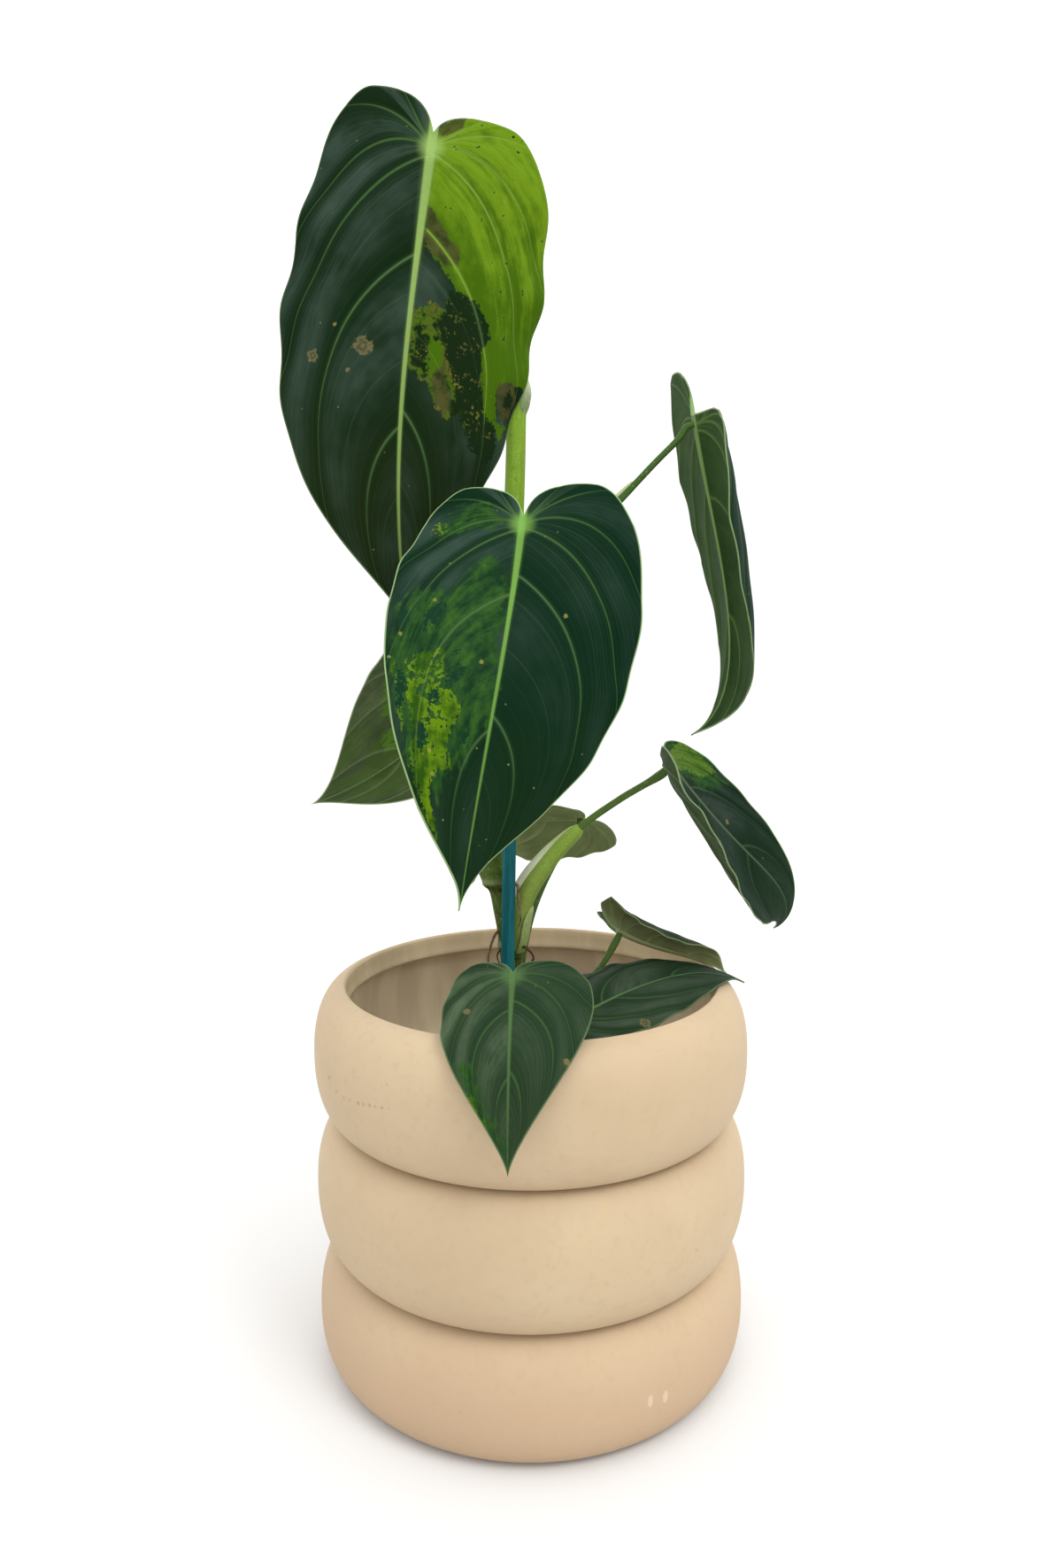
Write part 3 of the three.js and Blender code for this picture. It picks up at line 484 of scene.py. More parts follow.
def add(tree, kind, inlets=None, **settings):
    """The outlets of a new node with its settings, its inlets joined to values or set to them."""
    node = tree.nodes.new(kind)
    for key, value in settings.items():
        setattr(node, key, value)
    for place, value in (inlets or {}).items():
        if isinstance(value, Value):
            tree.links.new(value.socket, node.inputs[place])
        else:
            node.inputs[place].default_value = value
    return Outlets(tree, node)


def rise(value, low, high):
    """0 below low, 1 above high, smooth between; low may be the larger."""
    inlets = {"Value": value, "From Min": low, "From Max": high}
    if low > high:
        inlets.update({"From Min": high, "From Max": low, "To Min": 1, "To Max": 0})
    return add(value.tree, "ShaderNodeMapRange", inlets, interpolation_type="SMOOTHSTEP")[0]


def ramp(value, first, last, low=0, high=1):
    """From first to last in a straight line while the value goes from low to high."""
    return add(value.tree, "ShaderNodeMapRange", {
        "Value": value, "From Min": low, "From Max": high, "To Min": first, "To Max": last})[0]


def over(under, colour, share):
    """One colour laid over another."""
    def four(value):
        return value if isinstance(value, Value) else (*value, 1)

    return add(share.tree, "ShaderNodeMix", {0: share, 6: four(under), 7: four(colour)}, data_type="RGBA")[2]


def layered(colour, *coats):
    """Coats laid over a colour in turn, each with its share."""
    for coat, share in coats:
        colour = over(colour, coat, share)
    return colour


def toned(colour, share, lift=0):
    return tuple(min(1, share * c + lift) for c in colour)


def clouds(vector, scale, detail=3, roughness=0.55):
    return add(vector.tree, "ShaderNodeTexNoise", {
        "Vector": vector, "Scale": scale, "Detail": detail, "Roughness": roughness})["Fac"]


def triple(x, y, z=0):
    return add(x.tree, "ShaderNodeCombineXYZ", {0: x, 1: y, 2: z})[0]


def parts_of(vector):
    return add(vector.tree, "ShaderNodeSeparateXYZ", {0: vector})


def grained(place, across, along, detail=3, roughness=0.55):
    """Clouds drawn out upright into streaks."""
    x, y, z = parts_of(place)
    return clouds(triple(x * across, y * across, z * along), 1, detail, roughness)


def distance(vector, spot):
    return add(vector.tree, "ShaderNodeVectorMath", {0: vector, 1: spot}, operation="DISTANCE")["Value"]


def object_place(finish):
    return add(finish.node_tree, "ShaderNodeTexCoord")["Object"]


def new_finish(name, roughness, specular, **more):
    """A finish with its even values on the shader's own sockets."""
    finish = bpy.data.materials.new(name)
    finish.use_nodes = True
    for key, value in {"Roughness": roughness, "Specular IOR Level": specular, **more}.items():
        finish.node_tree.nodes["Principled BSDF"].inputs[key].default_value = value
    return finish


def surfaced(finish, colour, height=None, depth=0.0003, strength=1.0, roughness=None):
    """The finish with its colour, and with its roughness and its fine relief where they are given."""
    tree = finish.node_tree
    given = {"Base Color": colour}
    if roughness is not None:
        given["Roughness"] = roughness
    if height is not None:
        relief = {"Height": height, "Distance": depth, "Strength": strength}
        given["Normal"] = add(tree, "ShaderNodeBump", relief)[0]
    for key, value in given.items():
        tree.links.new(value.socket, tree.nodes["Principled BSDF"].inputs[key])
    return finish


# Leaf shapes

def complete_leaf(draft):
    halves = {side: SimpleNamespace(**{**BASIC_HALF, **draft[side]}) for side, _ in SIDES}
    return SimpleNamespace(**{**BASIC_BLADE, **draft, **halves})


def half_margin(leaf, half):
    """Flat margin of one half from sinus to tip, evenly spaced, and its way: -1, 0 at the lobe's top, 1."""
    length = leaf.length
    width, lobe = half.width * length, half.lobe * length
    widest, sinus = half.widest_at * length, SINUS_DEPTH * length
    top = half.lobe_top_at * width
    bends = (
        ((0, -sinus), (0.06 * width, -sinus - 0.75 * (lobe - sinus)), (top - 0.28 * width, -lobe),
         (top, -lobe)),
        ((top, -lobe), (top + 0.55 * (width - top), -lobe), (width, widest - 0.5 * (widest + lobe)),
         (width, widest)),
        ((width, widest), (width, widest + leaf.fullness * (length - widest)),
         (leaf.tip_slimness * width, length - 0.22 * (length - widest)), (0, length)))
    t = np.linspace(0, 1, BEND_POINTS)[:, None]
    margin, run = evened(np.vstack([
        (1 - t) ** 3 * a + 3 * (1 - t) ** 2 * t * b + 3 * (1 - t) * t * t * c + t ** 3 * d
        for a, b, c, d in np.array(bends, float)]), MARGIN_POINTS)
    place, lobe_top = np.linspace(0, run[-1], MARGIN_POINTS), run[BEND_POINTS]
    way = np.where(place < lobe_top, place / lobe_top - 1, (margin[:, 1] + lobe) / (length + lobe))
    return margin, np.maximum.accumulate(way) + np.arange(len(way)) * 1e-9


def midrib_line(leaf, half):
    """Stations along the midrib, from behind the junction to the tip: flat place, point, sideways, upward."""
    tipward = unit(leaf.tipward)
    facing = np.array(leaf.facing, float)
    facing = unit(facing - tipward * (facing @ tipward))
    across = np.cross(facing, tipward)
    q = np.linspace(0, 1, MIDRIB_STEPS + 1)[:, None]
    bend = leaf.arch[0] * q + leaf.arch[1] * q * q + leaf.hook * q ** 8
    sway = leaf.sway[0] * q + leaf.sway[1] * q * q
    twist = leaf.twist * q
    along = (tipward * np.cos(sway) + across * np.sin(sway)) * np.cos(bend) - facing * np.sin(bend)
    side = across * np.cos(sway) - tipward * np.sin(sway)
    up = np.cross(along, side)
    step = leaf.length / MIDRIB_STEPS
    places = np.vstack([np.zeros(3), np.cumsum((along[1:] + along[:-1]) / 2 * step, axis=0)])
    sides = side * np.cos(twist) - up * np.sin(twist)
    ups = up * np.cos(twist) + side * np.sin(twist)
    # Behind the junction each lobe bends on its own
    back = np.linspace(0, 1.3 * LOBE_REACH * leaf.length, LOBE_STEPS + 1)[1:, None]
    droop = half.droop * np.maximum(0, back / leaf.length - SINUS_DEPTH) / LOBE_REACH
    behind = tipward * np.cos(droop) + facing * np.sin(droop)
    back_places = -np.cumsum(behind * back[0], axis=0)
    y = np.r_[-back[::-1, 0], q[:, 0] * leaf.length]
    return (y, np.vstack([back_places[::-1], places]) + leaf.junction,
            np.vstack([np.tile(across, (LOBE_STEPS, 1)), sides]),
            np.vstack([np.cross(behind, across)[::-1], ups]))


def blade_points(leaf, half, sign, spots, raised):
    """Points of the blade over flat spots, raised along the blade's own normal."""
    y, *lines = midrib_line(leaf, half)
    place, side, up = (between(spots[..., 1], y, rows) for rows in lines)
    side, up = unit(side), unit(up)
    width = half.width * leaf.length
    q = spots[..., 0] / width
    turn = half.fold + half.curl * q
    reach = width / half.curl * (np.sin(turn) - math.sin(half.fold))
    drop = width / half.curl * (math.cos(half.fold) - np.cos(turn))
    phase = spots[..., 1] / leaf.length * WAVE_COUNT * 2 * math.pi + (0 if sign > 0 else 2.1)
    ripple = leaf.wave * np.sin(phase) * q ** 3
    tilt = np.where(q == 0, 0, turn)[..., None]
    normal = up * np.cos(tilt) + sign * side * np.sin(tilt)
    flat = place + sign * side * reach[..., None] - up * drop[..., None]
    return flat + normal * (ripple + raised)[..., None]


def vein_fan(leaf, half, ways, steps):
    """Flat spots of one half on lines that run as its veins do, one line for each way round the margin."""
    margin, way = half_margin(leaf, half)
    end = between(ways, way, margin)
    length, width = leaf.length, half.width * leaf.length
    start = np.interp(ways, FAN_WAY, FAN_START) * length
    out = np.minimum(np.interp(ways, FAN_WAY, FAN_OUT) * width, KNEE_LIMIT * end[:, 0])
    low = np.interp(ways, FAN_WAY[:len(FAN_UP)], FAN_UP)
    low = np.where(low < 0, low * half.lobe / BASIC_HALF["lobe"], low) * length
    up = np.where(ways > FAN_WAY[len(FAN_UP) - 1], start + KNEE_SHARE * (end[:, 1] - start), low)
    start, knee = np.stack([np.zeros_like(ways), start], -1), np.stack([out, up], -1)
    u = np.linspace(0, 1, steps + 1)
    t = (u - 0.75 * np.sin(2 * math.pi * u) / (2 * math.pi))[None, :, None]
    return (1 - t) ** 2 * start[:, None] + 2 * (1 - t) * t * knee[:, None] + t * t * end[:, None], t[0, :, 0]


def rib_ways(leaf, count):
    """Ways round the margin for all ribs: evenly spread, with extra ones on and beside every main vein."""
    even, extra = [], []
    for side, _ in SIDES:
        margin, way = half_margin(leaf, getattr(leaf, side))
        run = np.linspace(0, paces(margin).sum(), len(way))
        even.append(np.interp(np.linspace(0, run[-1], count + 1), run, way))
        for vein in MAIN_VEINS[side]:
            at = np.interp(vein, way, run)
            extra += list(np.interp([at - 1.6, at - 0.7, at, at + 0.7, at + 1.6], run, way))
    ways = np.unique(np.round(np.r_[np.mean(even, axis=0), extra], 5))
    ways[0], ways[-1] = -1, 1
    return ways


def patch_depth(spots, outline):
    """How deep flat spots lie inside a patch's outline, negative outside."""
    corners = np.array(outline) / 1000
    nearest = np.full(spots.shape[:-1], np.inf)
    inside = np.zeros(spots.shape[:-1], bool)
    for a, b in zip(corners, np.roll(corners, -1, axis=0)):
        edge = b - a
        share = np.clip((spots - a) @ edge / (edge @ edge), 0, 1)
        nearest = np.minimum(nearest, np.linalg.norm(spots - a - share[..., None] * edge, axis=-1))
        level = (spots[..., 1] - a[1]) / (edge[1] if edge[1] else 1e-9)
        crossing = (a[1] > spots[..., 1]) != (b[1] > spots[..., 1])
        inside ^= crossing & (spots[..., 0] < a[0] + level * edge[0])
    return np.where(inside, nearest, -nearest)


def margin_distance(spots, margin):
    flat = spots.reshape(-1, 2)
    return np.concatenate([
        np.sqrt(((flat[i:i + 1000, None] - margin[None]) ** 2).sum(-1).min(1))
        for i in range(0, len(flat), 1000)]).reshape(spots.shape[:-1])


def half_blade(leaf, side, sign, ways, bays, patches):
    """One half of a blade: flat spots, both surfaces, rounded margin, and what its finishes read."""
    half, length = getattr(leaf, side), leaf.length
    scale = length / USUAL_LENGTH
    spots, inner = vein_fan(leaf, half, ways, bays)
    inner = np.clip(inner, 0, 1)[None, :]
    x, y = spots[..., 0], spots[..., 1]
    veins = np.r_[-1, MAIN_VEINS[side], 1]
    phase = np.interp(ways, veins, np.arange(len(veins)))[:, None]
    down = unit(np.gradient(spots, axis=1) + 1e-9)
    gap = np.abs(np.cross(np.gradient(spots, phase[:, 0], axis=0), down))
    # The sheet is quilted between the veins and sinks along the midrib
    crown = np.abs(np.sin(math.pi * phase)) ** 0.75
    fine_crown = np.abs(np.sin(3 * math.pi * phase)) ** 0.8
    roomy = np.clip(gap / FULL_BAY, 0, 1) * (1 - np.exp(-x / 5)) * (1 - 0.6 * inner ** 6)
    slim = 1 - np.clip(y / length, 0, 1) ** 2
    sheet = QUILTING * (0.4 + 0.6 * scale) * roomy * (crown - 0.45 + 0.14 * fine_crown)
    sheet -= MIDRIB_VALLEY[0] * hump(x, MIDRIB_VALLEY[1]) * slim
    thick = (MARGIN_THICKNESS + (BLADE_THICKNESS - MARGIN_THICKNESS) * (1 - inner ** 5)) / 2
    # Veins and midrib stand out below
    nearest = np.abs(phase - np.round(phase)) * gap
    ridge = VEIN_RIDGE[0] * hump(nearest, VEIN_RIDGE[1]) * (1 - 0.7 * inner) * roomy ** 0.5
    ridge = np.maximum(ridge, MIDRIB_RIDGE[0] * hump(x, MIDRIB_RIDGE[1]) * slim * (0.5 + 0.5 * scale))
    top = blade_points(leaf, half, sign, spots, sheet + thick)
    bottom = blade_points(leaf, half, sign, spots, sheet - thick - ridge)
    outward = unit(top[:, -1] - top[:, -2] + 1e-9)
    rounded = (top[:, -1] + bottom[:, -1]) / 2 + outward * MARGIN_THICKNESS * 0.35
    rim = margin_distance(spots, half_margin(leaf, half)[0])
    rim[:, -1] = 0
    flat = spots * (sign, 1)
    depths = [
        np.max([patch_depth(flat / length, outline) * length for outline in patches.get(kind, ())] or
               [np.full(x.shape, FAR_OUTSIDE)], axis=0) for kind in PATCH_KINDS]
    # Three readings for the place among the veins, three for the flat place and the margin, four patch depths
    read = np.stack([
        np.repeat(phase, bays + 1, 1), np.repeat(inner, len(ways), 0), np.minimum(gap, WIDEST_BAY),
        flat[..., 0], flat[..., 1], rim, *depths], -1)
    return flat, (top, bottom), rounded, read


def blade_piece(name, upper, underside):
    """One blade of two halves, with its markings' places on the corners of its faces."""
    leaf = complete_leaf(LEAVES[name])
    fineness = 1 if leaf.length > SMALL_BLADE else SMALL_BLADE_FINENESS
    ways = rib_ways(leaf, int(RIB_COUNT * fineness))
    rows, columns = len(ways), int(BAY_COUNT * fineness) + 1
    count = rows * columns
    points, flats, faces, chosen, readings = [], [], [], [], []
    shift = 0

    def cover(first, second, following, last, layer, flipped):
        cells = halved(quads_of(first, second, following, last))
        faces.append(cells[:, ::-1] if flipped else cells)
        chosen.append(np.full(len(cells), layer))

    for side, sign in SIDES:
        flat, surfaces, rounded, read = half_blade(
            leaf, side, sign, ways, columns - 1, PATCHES.get(name, {}))
        grids = [shift + layer * count + np.arange(count).reshape(rows, columns) for layer in (0, 1)]
        for layer, (surface, index) in enumerate(zip(surfaces, grids)):
            points.append(surface.reshape(-1, 3))
            flats.append(np.c_[flat.reshape(-1, 2), np.full(count, layer)])
            readings.append(read.reshape(count, -1))
            cover(index[:-1, :-1], index[:-1, 1:], index[1:, 1:], index[1:, :-1],
                  layer, (sign > 0) == (layer == 0))
        points.append(rounded)
        flats.append(np.c_[flat[:, -1], np.full(rows, 2)])
        readings.append(read[:, -1])
        middle = shift + 2 * count + np.arange(rows)
        for first, second in ((grids[0][:, -1], middle), (middle, grids[1][:, -1])):
            cover(first[:-1], second[:-1], second[1:], first[1:], 0, sign > 0)
        shift += 2 * count + rows
    points, flats, faces, chosen, readings = (
        np.concatenate(rows_of) for rows_of in (points, flats, faces, chosen, readings))
    # Both halves share the points of the midrib, the sinus and the tip
    _, first, merged = np.unique(np.round(flats, 3) + 0.0, axis=0, return_index=True, return_inverse=True)
    welded = merged.ravel()[faces]
    whole = (welded[:, 0] != welded[:, 1]) & (welded[:, 1] != welded[:, 2]) & (welded[:, 0] != welded[:, 2])
    read = readings[faces[whole].ravel()]
    return make_piece(
        "leaf_" + name, points[first], welded[whole], (upper, underside), chosen[whole],
        dict(ribs=("FLOAT_VECTOR", read[:, :3]), flat=("FLOAT_VECTOR", read[:, 3:6]),
             patches=("FLOAT_COLOR", read[:, 6:])))


# Leaf finishes

def leaf_readings(finish):
    """What every leaf finish reads from the blade: veins, flat place, distance to the margin and patches."""
    def reading(name):
        return add(finish.node_tree, "ShaderNodeAttribute", attribute_name=name)

    phase, inner, gap = parts_of(reading("ribs")["Vector"])
    x, y, rim = parts_of(reading("flat")["Vector"])
    patches = reading("patches")
    lime, brown, black = add(finish.node_tree, "ShaderNodeSeparateColor", {0: patches["Color"]})

    def vein(parts):
        """Distance to the nearest of the veins that divide each bay into equal parts."""
        return abs((phase * parts + 0.5).through("FRACT") - 0.5) * (gap / parts)

    # The shifted phase gives either half streaks of its own
    return SimpleNamespace(
        inner=inner, gap=gap, x=x, y=y, rim=rim, beside=abs(x), vein=vein, flat=triple(x, y),
        shifted=x.through("SIGN") * 17.3 + phase,
        lime=lime, brown=brown, black=black, streaked=patches["Alpha"])


def streaks(leaf, fine, long, detail=4, roughness=0.6, shift=0):
    """Cloudy streaks that follow the veins: fine ones across, long ones along."""
    return clouds(triple(leaf.shifted * fine + shift, leaf.inner * long), 1, detail, roughness)


def ragged(depth, *layers):
    """A patch's depth with its edge broken up by clouds, each with its reach in millimetres."""
    for cloud, reach in layers:
        depth = (cloud - 0.5) * reach + depth
    return depth


def banded(value, *stops):
    """Colour against a value, as a row of places and colours."""
    node = value.tree.nodes.new("ShaderNodeValToRGB")
    bands = node.color_ramp
    while len(bands.elements) < len(stops):
        bands.elements.new(1)
    for element, (place, colour) in zip(bands.elements, stops):
        element.position = place
        element.color = (*colour, 1)
    value.tree.links.new(value.socket, node.inputs[0])
    return Value(value.tree, node.outputs[0])


def midrib_mask(leaf, length, wide, soft=0.3):
    """The pale midrib, broad at the junction and thin at the tip."""
    width = rise(leaf.y, 0.3 * length, 0) * (0.35 * wide) + ramp(leaf.y, 0.8 * wide, 0.2 * wide, 0, length)
    return rise(leaf.beside / width, 1 + soft, 1 - soft)


def spot_mask(leaf, x, y, radius, soft):
    """A round spot with a wavering edge."""
    wobble = clouds(leaf.flat, 0.55, 2) * (radius * 1.5) + (distance(leaf.flat, (x, y, 0)) - radius * 0.75)
    return rise(wobble, radius, radius * (1 - soft))


# Marbling around the bright patches, from dark to bright
MARBLED = ((0, (0.004, 0.02, 0.006)), (0.42, (0.005, 0.025, 0.008)), (0.49, (0.012, 0.044, 0.01)),
           (0.55, (0.02, 0.064, 0.011)), (0.64, (0.035, 0.098, 0.008)))
MOTTLED = ((0, (0.004, 0.011, 0.003)), (0.455, (0.006, 0.015, 0.003)), (0.465, (0.02, 0.04, 0.007)),
           (0.505, (0.05, 0.1, 0.005)), (0.535, (0.065, 0.075, 0.012)), (0.56, (0.03, 0.034, 0.009)),
           (0.585, (0.13, 0.135, 0.02)), (0.63, (0.01, 0.018, 0.005)))
BROWN_TONES = ((0.022, 0.027, 0.008), (0.054, 0.054, 0.016))
SPECK_TONE, MARGIN_TONE, UNDER_MARGIN_TONE = (0.15, 0.18, 0.04), (0.26, 0.38, 0.16), (0.36, 0.44, 0.26)
# Rings of a scar: tone, share of its radius, softness and strength; a small one has a brighter ring only
SMALL_SCAR = (((0.2, 0.19, 0.05), 1, 0.3, 0.7),)
SCAR_RINGS = (
    ((0.15, 0.125, 0.055), 1, 0.3, 0.7), ((0.035, 0.045, 0.02), 0.72, 0.5, 0.8),
    ((0.12, 0.1, 0.05), 0.3, 0.6, 0.7))


def upper_finish(name, leaf_name, look):
    """Velvety upper face: dark green with painted blue-grey sheen bands, pale veins, lime patches, mottles,
    scars and a pale margin.
    """
    length = LEAVES[leaf_name]["length"]
    finish = new_finish(name, 0.5, 0.022, **{
        "Sheen Weight": 0.012, "Sheen Roughness": 0.4, "Sheen Tint": (0.6, 0.85, 0.74, 1)})
    leaf = leaf_readings(finish)
    near, near_fine, hairlines = (leaf.vein(parts) for parts in (1, 3, 9))
    broad, blotches, crumbs = (clouds(leaf.flat, scale) for scale in (0.03, 0.15, 0.6))
    flakes = clouds(leaf.flat, 0.36, 5, 0.72)
    streaky, fibrous = streaks(leaf, 5, 7, 3, 0.5), streaks(leaf, 11, 5, 4, 0.6, 3.1)
    crown = rise(near / leaf.gap, 0.02, 0.45)
    # Painted sheen: blue-grey bands along the crowns between the veins, fading towards the tip and weaker on
    # the right half by its share
    painted_sheen = crown * rise(fibrous * 0.5 + broad * 0.9, 0.4, 1)
    painted_sheen = painted_sheen * (rise(leaf.y, 0.8 * length, 0.25 * length) * 0.65 + 0.35)
    painted_sheen = painted_sheen * (rise(leaf.x, -2, 2) * (look.band_right - 1) + 1)
    # Marbled or mottled areas around the bright patches
    marble_edge = ragged(leaf.streaked, (streaky, 14), (blotches, 8), (flakes, 6))
    fibre_share, streak_share, blotch_share, flake_share = look.marble_mix
    marble = fibrous * fibre_share + streaky * streak_share + blotches * blotch_share + flakes * flake_share
    colour = layered(
        look.deep, (look.low, rise(broad * (0.5 * length) + leaf.y, 0.6 * length, 1.05 * length)),
        (look.band, painted_sheen), (look.band, rise(hairlines, 0.3, 0) * 0.12),
        (banded(marble, *look.marbling), rise(marble_edge, -look.marble_softness, look.marble_softness)))
    # Lime patches with dark islands, brown parts and black ones with openings
    lime_edge = ragged(leaf.lime, (flakes, 7), (crumbs, 3), (streaky, 3))
    clustered = (blotches - 0.5) * 0.6 + (crumbs * 0.5 + flakes * 0.5)
    upward = rise(leaf.y, look.islands_end * length, (look.islands_end - 0.14) * length)
    islands = rise(upward * 0.09 + clustered, look.islands, look.islands + 0.012)
    lime_mask = (rise(lime_edge, -0.15, 0.15) - islands).through("MAXIMUM", 0)
    fresh = crown * 0.22 + leaf.y * (look.lime_fall / length) + streaky + (blotches - 0.5) * look.lime_clouds
    brown_mask = rise(ragged(leaf.brown, (flakes, 3), (blotches, 3)), -0.4, 0.8)
    black_edge = ragged(leaf.black, (flakes, 9), (crumbs, 4))
    colour = layered(
        colour, (over(*look.lime, rise(fresh, 0.2, 0.72)), lime_mask),
        (over(*BROWN_TONES, rise(blotches, 0.36, 0.62)), brown_mask * 0.88),
        (look.dark, rise(black_edge, -0.1, 0.1) * rise(clustered, 0.61, 0.595)))
    # Veins: pale on dark tissue, yellow-green on lime, fainter low on the leaf; the junction is paler too
    tapering = rise(leaf.inner, 1.1, 0.1)
    vein_tone = over(look.vein, look.lime_vein, lime_mask)
    waning = (rise(leaf.y, 0.8 * length, 0.35 * length) * 0.5 + 0.5) * look.vein_strength
    faint = rise(near_fine, 0.35, 0.08) * tapering * 0.17
    halo = rise(near, 1.9, 0.1) * tapering * 0.2
    line = rise(near / (tapering * 0.34 + 0.2), 1.25, 0.55) * (tapering * 0.5 + 0.35)
    wide = look.midrib_width
    colour = layered(
        colour, *((vein_tone, mask * waning) for mask in (faint, halo, line)),
        (toned(look.midrib, 0.5), midrib_mask(leaf, length, 1.5 * wide, 0.5) * 0.3),
        (look.midrib, midrib_mask(leaf, length, wide, 0.35) * ramp(leaf.y, 0.92, 0.3, 0.25 * length, length)),
        (toned(look.midrib, 1.3), rise(distance(leaf.flat, (0, 0, 0)), 7, 1.5) * 0.55))
    # Healed scars, scattered pale specks and the pale margin
    for x, y, radius in SCARS.get(leaf_name, ()):
        rings = SMALL_SCAR if radius < 1 else SCAR_RINGS if radius > 2 else SCAR_RINGS[:1]
        for tone, share, soft, strength in rings:
            spot = spot_mask(leaf, x * length, y * length, radius * share, soft)
            colour = over(colour, tone, spot * strength)
    cells = add(finish.node_tree, "ShaderNodeTexVoronoi", {"Vector": leaf.flat, "Scale": 0.2})
    chance = add(finish.node_tree, "ShaderNodeSeparateColor", {0: cells["Color"]})[0]
    specks = rise(cells["Distance"], 0.09, 0.05) * rise(broad * 0.5 + chance, 1.05, 1.08)
    colour = layered(
        colour, (SPECK_TONE, specks * 0.6), (MARGIN_TONE, rise(leaf.rim, 0.7, 0.25) * look.margin))
    relief = clouds(leaf.flat, 3.2, 2) * 0.5 + rise(hairlines, 0, 0.8) * 0.35
    return surfaced(finish, colour, relief, 0.00025, 0.6, ramp(broad, 0.42, 0.62))


def underside_finish(name, leaf_name, deep, pale, vein_tone, lime_tone=(0.11, 0.19, 0.02)):
    """Paler, smoother underside with raised pale veins."""
    finish = new_finish(name, 0.58, 0.04)
    leaf = leaf_readings(finish)
    near, near_fine = leaf.vein(1), leaf.vein(3)
    streaky, speckle = streaks(leaf, 2.2, 2.5), streaks(leaf, 12, 12, 3, 0.65, 5.2)
    edge = ragged(leaf.streaked * 0.5, (streaky, 60), (speckle, 20))
    lime_edge = ragged(leaf.lime, (streaky, 34), (speckle, 14))
    colour = layered(
        deep, (pale, rise(streaky * 0.6 + clouds(leaf.flat, 0.05) * 0.5, 0.35, 0.75)),
        (toned(lime_tone, 0.55), rise(edge, 0, 4) * 0.6), (lime_tone, rise(lime_edge, -0.5, 1.2) * 0.8),
        (vein_tone, rise(near_fine, 0.35, 0.1) * 0.1),
        (vein_tone, rise(near, 1.6, 0.2) * rise(leaf.inner, 1.1, 0.3) * 0.22),
        (vein_tone, rise(near, 0.5, 0.15) * 0.5),
        (toned(vein_tone, 1.2), midrib_mask(leaf, LEAVES[leaf_name]["length"], 0.85)),
        (UNDER_MARGIN_TONE, rise(leaf.rim, 0.7, 0.25) * 0.75))
    return surfaced(finish, colour, clouds(leaf.flat, 2.6, 2), 0.0002, 0.5)


# Other finishes

def stalk_finish(name, low, high, low_at, high_at, fleck, scars=()):
    """Petiole and stem skin: upright streaks, pale flecks, leaf scars, a colour that goes with height."""
    finish = new_finish(name, 0.42, 0.14)
    place = object_place(finish)
    z = parts_of(place)[2]
    blotch, long = clouds(place, 70, 4), grained(place, 1900, 90)
    dots = add(finish.node_tree, "ShaderNodeTexVoronoi", {"Vector": place, "Scale": 520})["Distance"]
    colour = layered(
        over(low, high, (blotch - 0.5) * 0.9 + rise(z, low_at * MM, high_at * MM)),
        (toned(high, 1.45, 0.01), rise(long, 0.5, 0.72) * 0.4),
        (toned(low, 0.5), rise(clouds(place, 260), 0.58, 0.74) * 0.35), (fleck, rise(dots, 0.3, 0.12) * 0.3))
    for scar in scars:
        below = abs(blotch * (3 * MM) + (z - (scar - 1.5) * MM))
        pale = rise(z - scar * MM, 3.5 * MM, 0.5 * MM) * rise(z, (scar - 1) * MM, scar * MM)
        torn = rise(below, 1.5 * MM, 0.4 * MM) * rise(clouds(place, 420, 2), 0.36, 0.56)
        colour = layered(colour, ((0.26, 0.3, 0.13), pale * 0.5), ((0.05, 0.028, 0.01), torn))
    return surfaced(finish, colour, clouds(place, 900, 2) * 0.3 + long, 0.0003, 0.5)


# Brown scuffs on the front, across, upward and their radius, and two pale nicks
POT_SCUFFS = (
    (-85.5, 147.5, 1.6), (-81.5, 144, 1.3), (-77.5, 143.4, 1.5), (-74.6, 143.8, 1.1), (-70.3, 144.4, 1.7),
    (-68, 145, 1.5), (-65, 145.6, 1.4), (-62.5, 146, 1.2), (-59.5, 146.4, 1.4), (-56.5, 147, 1),
    (13.9, 117.5, 1.4), (-86.1, 70, 1), (-28.2, 26.1, 0.8), (-70, 155, 0.7), (-57, 156.5, 0.8),
    (68.5, 81.5, 1.2))
POT_NICKS, NICK_SLIMNESS = ((48.6, 24.4), (55.2, 23.4)), 2.4
SCUFF_TONE, NICK_TONE, SMEAR_TONE = (0.2, 0.115, 0.065), (0.68, 0.55, 0.41), (0.5, 0.39, 0.22)


def inner_glaze():
    """Wall inside the pot below a warmer band at the lip, both painted paler than the outer glaze as painted
    light falling into the pot.
    """
    finish = new_finish("inner_glaze_painted_light", 0.6, 0.12)
    place = object_place(finish)
    streak = rise(grained(place, 60, 9), 0.38, 0.66)
    # Both tones are painted paler than the outer glaze: painted light inside the pot
    wall = over((0.66, 0.53, 0.36), (0.78, 0.65, 0.45), streak)
    band = over((0.56, 0.44, 0.27), (0.64, 0.51, 0.32), streak)
    low = (POT_HEIGHT - LIP_BAND - 0.6) * MM
    colour = over(wall, band, rise(parts_of(place)[2], low, low + 0.5 * MM))
    return surfaced(finish, colour, clouds(place, 500, 2), 0.0002, 0.5)


